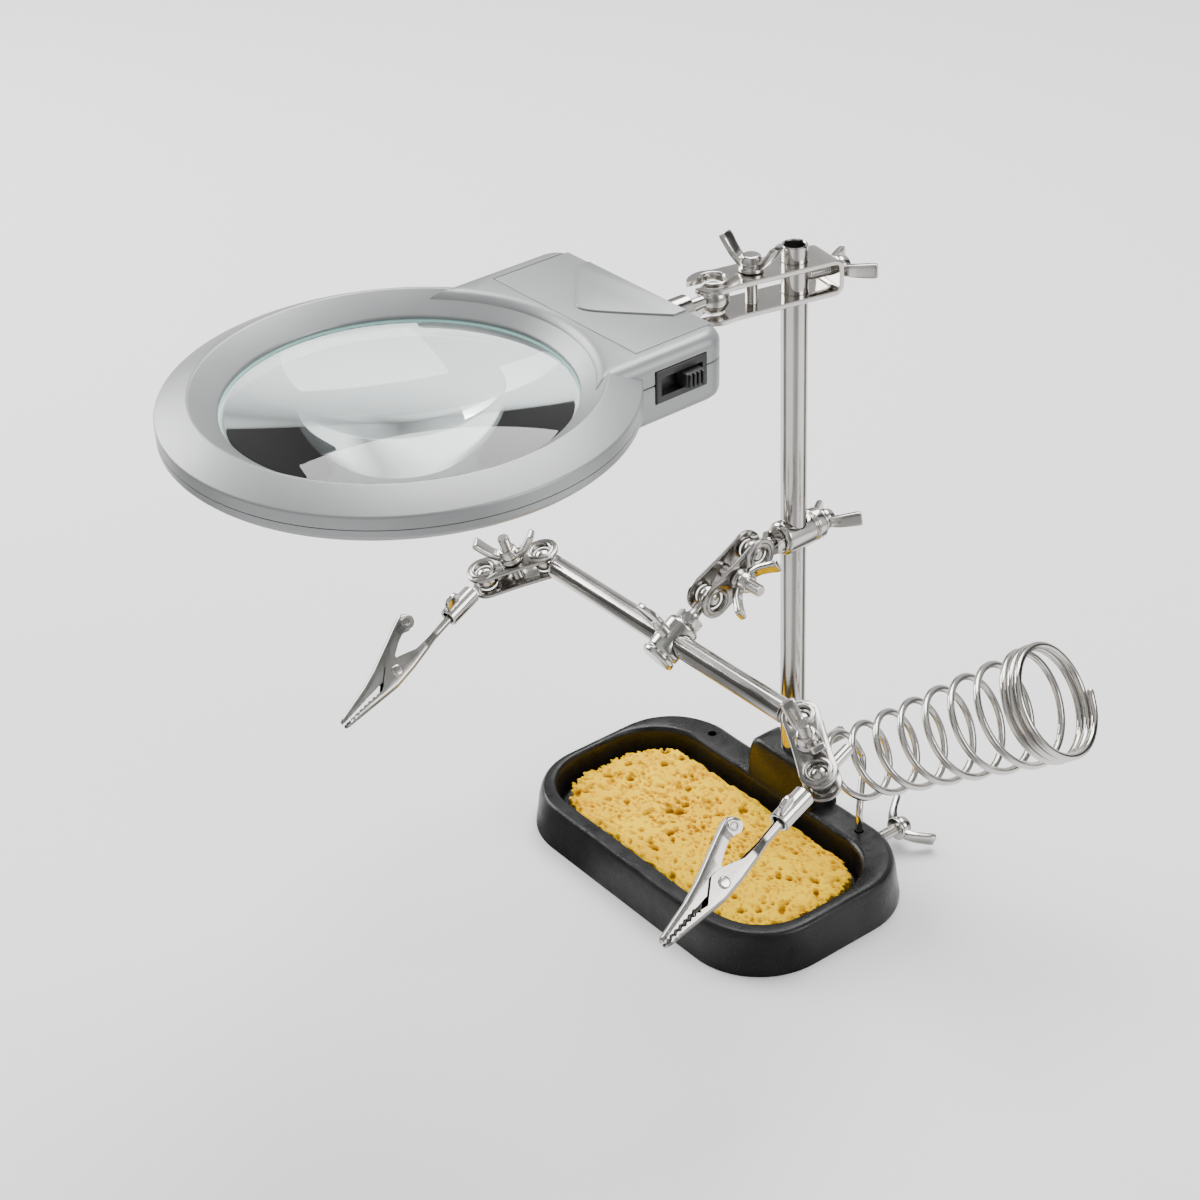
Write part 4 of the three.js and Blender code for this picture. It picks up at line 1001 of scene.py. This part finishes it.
thumb_at, thumb_dir = seat("arm_clamp_lock_turn")
thumb_screw = placed(spade_screw(2.3, 2.4, 6.4, 11, 6), thumb_at, axes_from(thumb_dir, (1, 0, 0)))
make("arm_clamp_screw", thumb_screw, NICKEL)
(tube_start, *_), (tube_end, *_) = box_mm("cross_tube")
cross_tube = bored_tube(TUBE_OUTER, TUBE_BORE, tube_start, tube_end)
make("cross_tube", placed(cross_tube, (0, *ARM_AT[1:]), ALONG_X), NICKEL)
for side, at, s in (("left", left_ball, -1), ("right", right_ball, 1)):
    gap = abs(at[0]) - tube_end
    shape = ball_stud(BALL, gap + 9, NECK, (4.3, gap - 1.3, gap - 0.3), 3.2)
    make(f"{side}_arm_ball_stud", placed(shape, at, axes_from((s, 0, 0), (0, 1, 0))), NICKEL)
link("left", "left_link_swing", "left_clip_swing", "left_nut_turn", math.radians(-14))
link("right", "right_link_swing", "right_clip_swing", "right_nut_turn", math.radians(14))

# ------------------------------------------------------------ crocodile clips
# Each clip is two pressed troughs of thin plated steel on a rivet, sprung shut, with
# toothed lips. The lower one is crimped into a socket that turns on a ball stud.
CLIP_PIVOT, CLIP_TIP, TEETH_FROM, SHEET = 56.0, 86.0, 69.0, 0.7
TAIL_HOLES = (42.5, 47.5)


def trough(x, half, floor, lip, side):
    """A folded channel: a U section at each x, from its floor to its lips, as a thin sheet."""
    a = np.linspace(0, np.pi / 2, 6)
    rings = []
    for x0, w, f, l in zip(x, half, floor, lip):
        loops = []
        for inner in (0.0, SHEET):
            wall, base = w - inner, f + side * inner
            round_off = max(min(1.6 - inner * 0.6, wall * 0.7, abs(l - base) * 0.8), 0.05)
            corner_y = wall - round_off + round_off * np.sin(a)
            corner_z = base + side * (round_off - round_off * np.cos(a))
            lip_z = l if side * (l - base) > round_off else base + side * round_off * 1.02
            flat = np.column_stack([np.linspace(0, wall - round_off, 3)[:-1], np.full(2, base)])
            upright = np.column_stack([np.full(3, wall), np.linspace(corner_z[-1], lip_z, 4)[1:]])
            half_loop = np.vstack([flat, np.column_stack([corner_y, corner_z]), upright])
            loops.append(np.vstack([(half_loop * [-1, 1])[1:][::-1], half_loop]))
        loop = np.vstack([loops[0], loops[1][::-1]])
        rings.append(np.column_stack([np.full(len(loop), x0), loop]))
    return lofted(np.array(rings))


def teeth(x, start, depth, pitch=2.4, shift=0.0):
    """A row of pointed teeth from start to the tip: a triangle wave in x."""
    wave = np.abs(((x + shift) / pitch) % 1 - 0.5) * 2
    return depth * wave * (x > start)


def lower_jaw():
    """The channel from its crimped tail to its toothed tip."""
    x = np.unique(np.concatenate([np.linspace(22, 66, 60), np.arange(66, CLIP_TIP, 0.3), [CLIP_TIP]]))
    half = np.interp(x, [22, 33, 40, 60, 74, 84.5, CLIP_TIP], [1.9, 2.1, 3.7, 3.7, 3.2, 2.5, 1.9])
    floor = np.interp(x, [22, 34, 50, 60, CLIP_TIP - 1, CLIP_TIP], [-2.0, -2.4, -4.3, -4.8, -1.9, -1.5])
    lip = np.interp(x, [22, 35, 44, 51, 55, 58, 62, 66, 71, CLIP_TIP],
                    [1.2, 0.4, 0.6, 3.4, 4.5, 4.5, 1.6, -1.4, -0.3, 0.1])
    body = trough(x, half, floor, lip - teeth(x, TEETH_FROM, 0.75), 1)
    return carved(body, *[placed(round_bar(1.15, -8, 0, 20), (at, 0, 0)) for at in TAIL_HOLES])


PAD = np.array([38.6, 11.0])  # centre of the thumb pad, along the clip and up
PAD_RADIUS = 3.4


def upper_jaw():
    """The narrower channel, upside down; its handle ends in a round pad with a dimple each side."""
    pad_x = PAD[0] - PAD_RADIUS * np.cos(np.linspace(0, np.pi / 2, 14))
    x = np.unique(np.concatenate([pad_x, np.linspace(39, 68, 58), np.arange(68, CLIP_TIP, 0.3), [CLIP_TIP]]))
    round_off = np.sqrt(np.clip(PAD_RADIUS ** 2 - (x - PAD[0]) ** 2, 0, None))
    half = np.interp(x, [35.2, 41, 44, 60, 84.5, CLIP_TIP], [3.0, 3.0, 2.5, 2.5, 2.1, 1.5])
    roof = np.interp(x, [38.6, 41, 50, 62, 70, CLIP_TIP - 1, CLIP_TIP],
                     [14.4, 13.9, 10.9, 6.9, 4.9, 2.5, 1.9])
    lip = np.interp(x, [38.6, 40.5, 43, 47, 52, 53.2, 58.8, 64, 72, CLIP_TIP],
                    [7.6, 8.4, 8.6, 7.2, 4.6, -1.8, -1.8, 1.0, 0.7, 0.4])
    roof = np.where(x < PAD[0], PAD[1] + round_off + 0.05, roof)
    lip = np.where(x < PAD[0], PAD[1] - round_off - 0.05, lip)
    dimple = turned(softened([(0, -0.3), (1.1, -0.3), (1.25, 0.3), (1.9, 0.35), (2.2, -0.3)], 0.2), 28)
    dimples = [placed(dimple, (PAD[0], s * 3.0, PAD[1]), TO_Y @ np.diag([1, s, s])) for s in (1, -1)]
    return merged(trough(x, half, roof, lip + teeth(x, TEETH_FROM, 0.7, shift=1.2), -1), *dimples)


def clip_spring():
    """Fine wire coiled on the pivot, its two legs reaching back along the jaws."""
    turns = np.linspace(0, 2.4, 60)
    coil = np.column_stack([CLIP_PIVOT + 2.2 * np.sin(2 * np.pi * turns), -1.3 + 2.6 * turns / turns[-1],
                            2.2 * np.cos(2 * np.pi * turns)])
    path = np.vstack([[(CLIP_PIVOT - 9.5, -1.3, 2), (CLIP_PIVOT - 5, -1.3, 2.1)], coil,
                      [(CLIP_PIVOT - 6, 1.3, -1.6), (CLIP_PIVOT - 10, 1.3, -1.3)]])
    return wire(path, 0.35, 8)


rivet = softened([(0, -4.5), (1.8, -4.4), (2.4, -3.8), (1.5, -3.75), (1.5, 3.75), (2.4, 3.8), (1.8, 4.4),
                  (0, 4.5)], 0.25)
CLIP_PIECES = {
    "ball_stud": (placed(ball_stud(BALL, 16, NECK, shaft=2.2), (0, 0, 0), ALONG_X), NICKEL),
    "socket": (placed(bored_tube(3.9, 2.6, 9, 24), (0, 0, 0), ALONG_X), NICKEL),
    "lower_jaw": (lower_jaw(), PRESSED),
    "upper_jaw": (upper_jaw(), PRESSED),
    "pin": (placed(turned(rivet, 28), (CLIP_PIVOT, 0, 0), TO_Y), NICKEL),
    "spring": (clip_spring(), NICKEL),
}
for side in ("left", "right"):
    ball = seat(f"{side}_clip_swing")[0]
    pivot, opening = seat(f"{side}_jaw_open")
    clip_x = (pivot - ball) / np.linalg.norm(pivot - ball)
    clip_axes = np.column_stack([clip_x, -opening, np.cross(clip_x, -opening)])
    for name, (shape, plating) in CLIP_PIECES.items():
        make(f"{side}_clip_{name}", placed(shape, ball, clip_axes), plating)
    screw_at, screw_dir = seat(f"{side}_clip_lock_turn")
    small_screw = placed(spade_screw(1.8, 1.6, 3.6, 8, 3.2), screw_at, axes_from(screw_dir, clip_x))
    make(f"{side}_clip_screw", small_screw, NICKEL)

# ------------------------------------------------------------ studio
# A pale floor, three soft lights and the camera; seen in reflections, the floor and sky carry painted dark
# bands. The camera stands to the right of the stand, above it, and is rolled a little.

PAINTED_REFLECTION_BANDS = [  # turn round the horizon, from 0 to 1, and grey
    (0.0, 0.8), (0.07, 0.8), (0.10, 0.12), (0.16, 0.1), (0.20, 0.7), (0.34, 0.85), (0.40, 0.3),
    (0.47, 0.25), (0.52, 0.85), (0.63, 0.9), (0.665, 0.08), (0.71, 0.06), (0.75, 0.8), (0.87, 0.85),
    (0.91, 0.2), (0.96, 0.75),
]
FLOOR_REACH, FLOOR_Z, FLOOR_LINES = 6000, -0.2, 9
FLOOR_GREY, SKY_GREY = 0.88, 0.6


def with_painted_reflection_bands(tree, direction, grey):
    """A plain grey; seen only in reflections, painted dark bands by compass direction, standing in for the
    reflections of dark flags between lights.
    """
    parts = tree.nodes.new("ShaderNodeSeparateXYZ")
    tree.links.new(direction, parts.inputs["Vector"])
    compass = tree.nodes.new("ShaderNodeMath")
    compass.operation = "ARCTAN2"
    tree.links.new(parts.outputs["Y"], compass.inputs[0])
    tree.links.new(parts.outputs["X"], compass.inputs[1])
    ramp = tree.nodes.new("ShaderNodeValToRGB")
    tree.links.new(spread(tree, compass.outputs["Value"], 0.0, 1.0, -math.pi, math.pi), ramp.inputs["Fac"])
    stops = ramp.color_ramp.elements
    stops[0].color = stops[1].color = (PAINTED_REFLECTION_BANDS[0][1],) * 3 + (1,)
    for at, shade in PAINTED_REFLECTION_BANDS[1:]:
        stops.new(at).color = (shade, shade, shade, 1)
    # Painted reflection: only glossy rays see the banded greys; every other ray sees the plain grey.
    rays = tree.nodes.new("ShaderNodeLightPath")
    return colour_between(tree, rays.outputs["Is Glossy Ray"], (grey, grey, grey), ramp.outputs["Color"])


def studio_floor():
    """A wide plain floor, cut finer than it needs to be so that it stays flat."""
    line = np.linspace(-FLOOR_REACH, FLOOR_REACH, FLOOR_LINES)
    x, y = (side.ravel() for side in np.meshgrid(line, line))
    grid = np.stack([x, y, np.full(x.size, FLOOR_Z)], 1), quads(FLOOR_LINES, FLOOR_LINES, wrap_cols=False)
    floor = bpy.data.objects.new("studio_floor", mesh_of("studio_floor", grid))
    bpy.context.scene.collection.objects.link(floor)
    paint, tree, shader, where = new_material("pale_floor")
    shader.inputs["Roughness"].default_value = 0.7
    # Painted reflection: the floor shows dark bands only where it is seen in a reflection.
    tree.links.new(with_painted_reflection_bands(tree, where, FLOOR_GREY), shader.inputs["Base Color"])
    floor.data.materials.append(paint)


def soft_light(name, power, size, place, target=(0, 0, 0.12)):
    """A square area light that faces the stand."""
    light = bpy.data.lights.new(name, "AREA")
    light.energy = power
    light.size = size
    lamp = bpy.data.objects.new(name, light)
    away = np.array(place, float) - np.array(target, float)
    turn = axes_from(away, (0.3, 1, 0.1))
    lamp.matrix_world = Matrix.Translation(place) @ Matrix(turn.tolist()).to_4x4()
    bpy.context.scene.collection.objects.link(lamp)


studio_floor()
soft_light("overhead", 52, 1.3, (-0.5, 0.6, 1.8))
soft_light("left_window", 30, 0.9, (-1.5, -0.5, 0.9))
soft_light("right_window", 12, 0.7, (1.3, 0.5, 0.9))
world = bpy.data.worlds.new("studio")
bpy.context.scene.world = world
world.use_nodes = True
sky = world.node_tree
direction = sky.nodes.new("ShaderNodeTexCoord").outputs["Generated"]
# Painted reflection: the sky shows dark bands only in reflections, and lights the scene as a plain grey.
sky.links.new(with_painted_reflection_bands(sky, direction, SKY_GREY), sky.nodes["Background"].inputs["Color"])

CAMERA_AT = np.array([0.59581, -0.49342, 0.59289])
AZIMUTH, ELEVATION, ROLL = (math.radians(d) for d in (53.436, 31.322, -2.617))
forward = np.array([-math.sin(AZIMUTH) * math.cos(ELEVATION), math.cos(AZIMUTH) * math.cos(ELEVATION),
                    -math.sin(ELEVATION)])
level = np.array([math.cos(AZIMUTH), math.sin(AZIMUTH), 0])
upward = np.cross(level, forward)
right = math.cos(ROLL) * level + math.sin(ROLL) * upward
above = math.cos(ROLL) * upward - math.sin(ROLL) * level
camera = bpy.data.objects.new("camera", bpy.data.cameras.new("camera"))
bpy.context.scene.collection.objects.link(camera)
camera.data.sensor_width = 36
camera.data.lens = 71.355
camera.data.clip_end = 50
aim = Matrix(np.column_stack([right, above, -forward]).tolist())
camera.matrix_world = Matrix.Translation(CAMERA_AT) @ aim.to_4x4()
bpy.context.scene.camera = camera
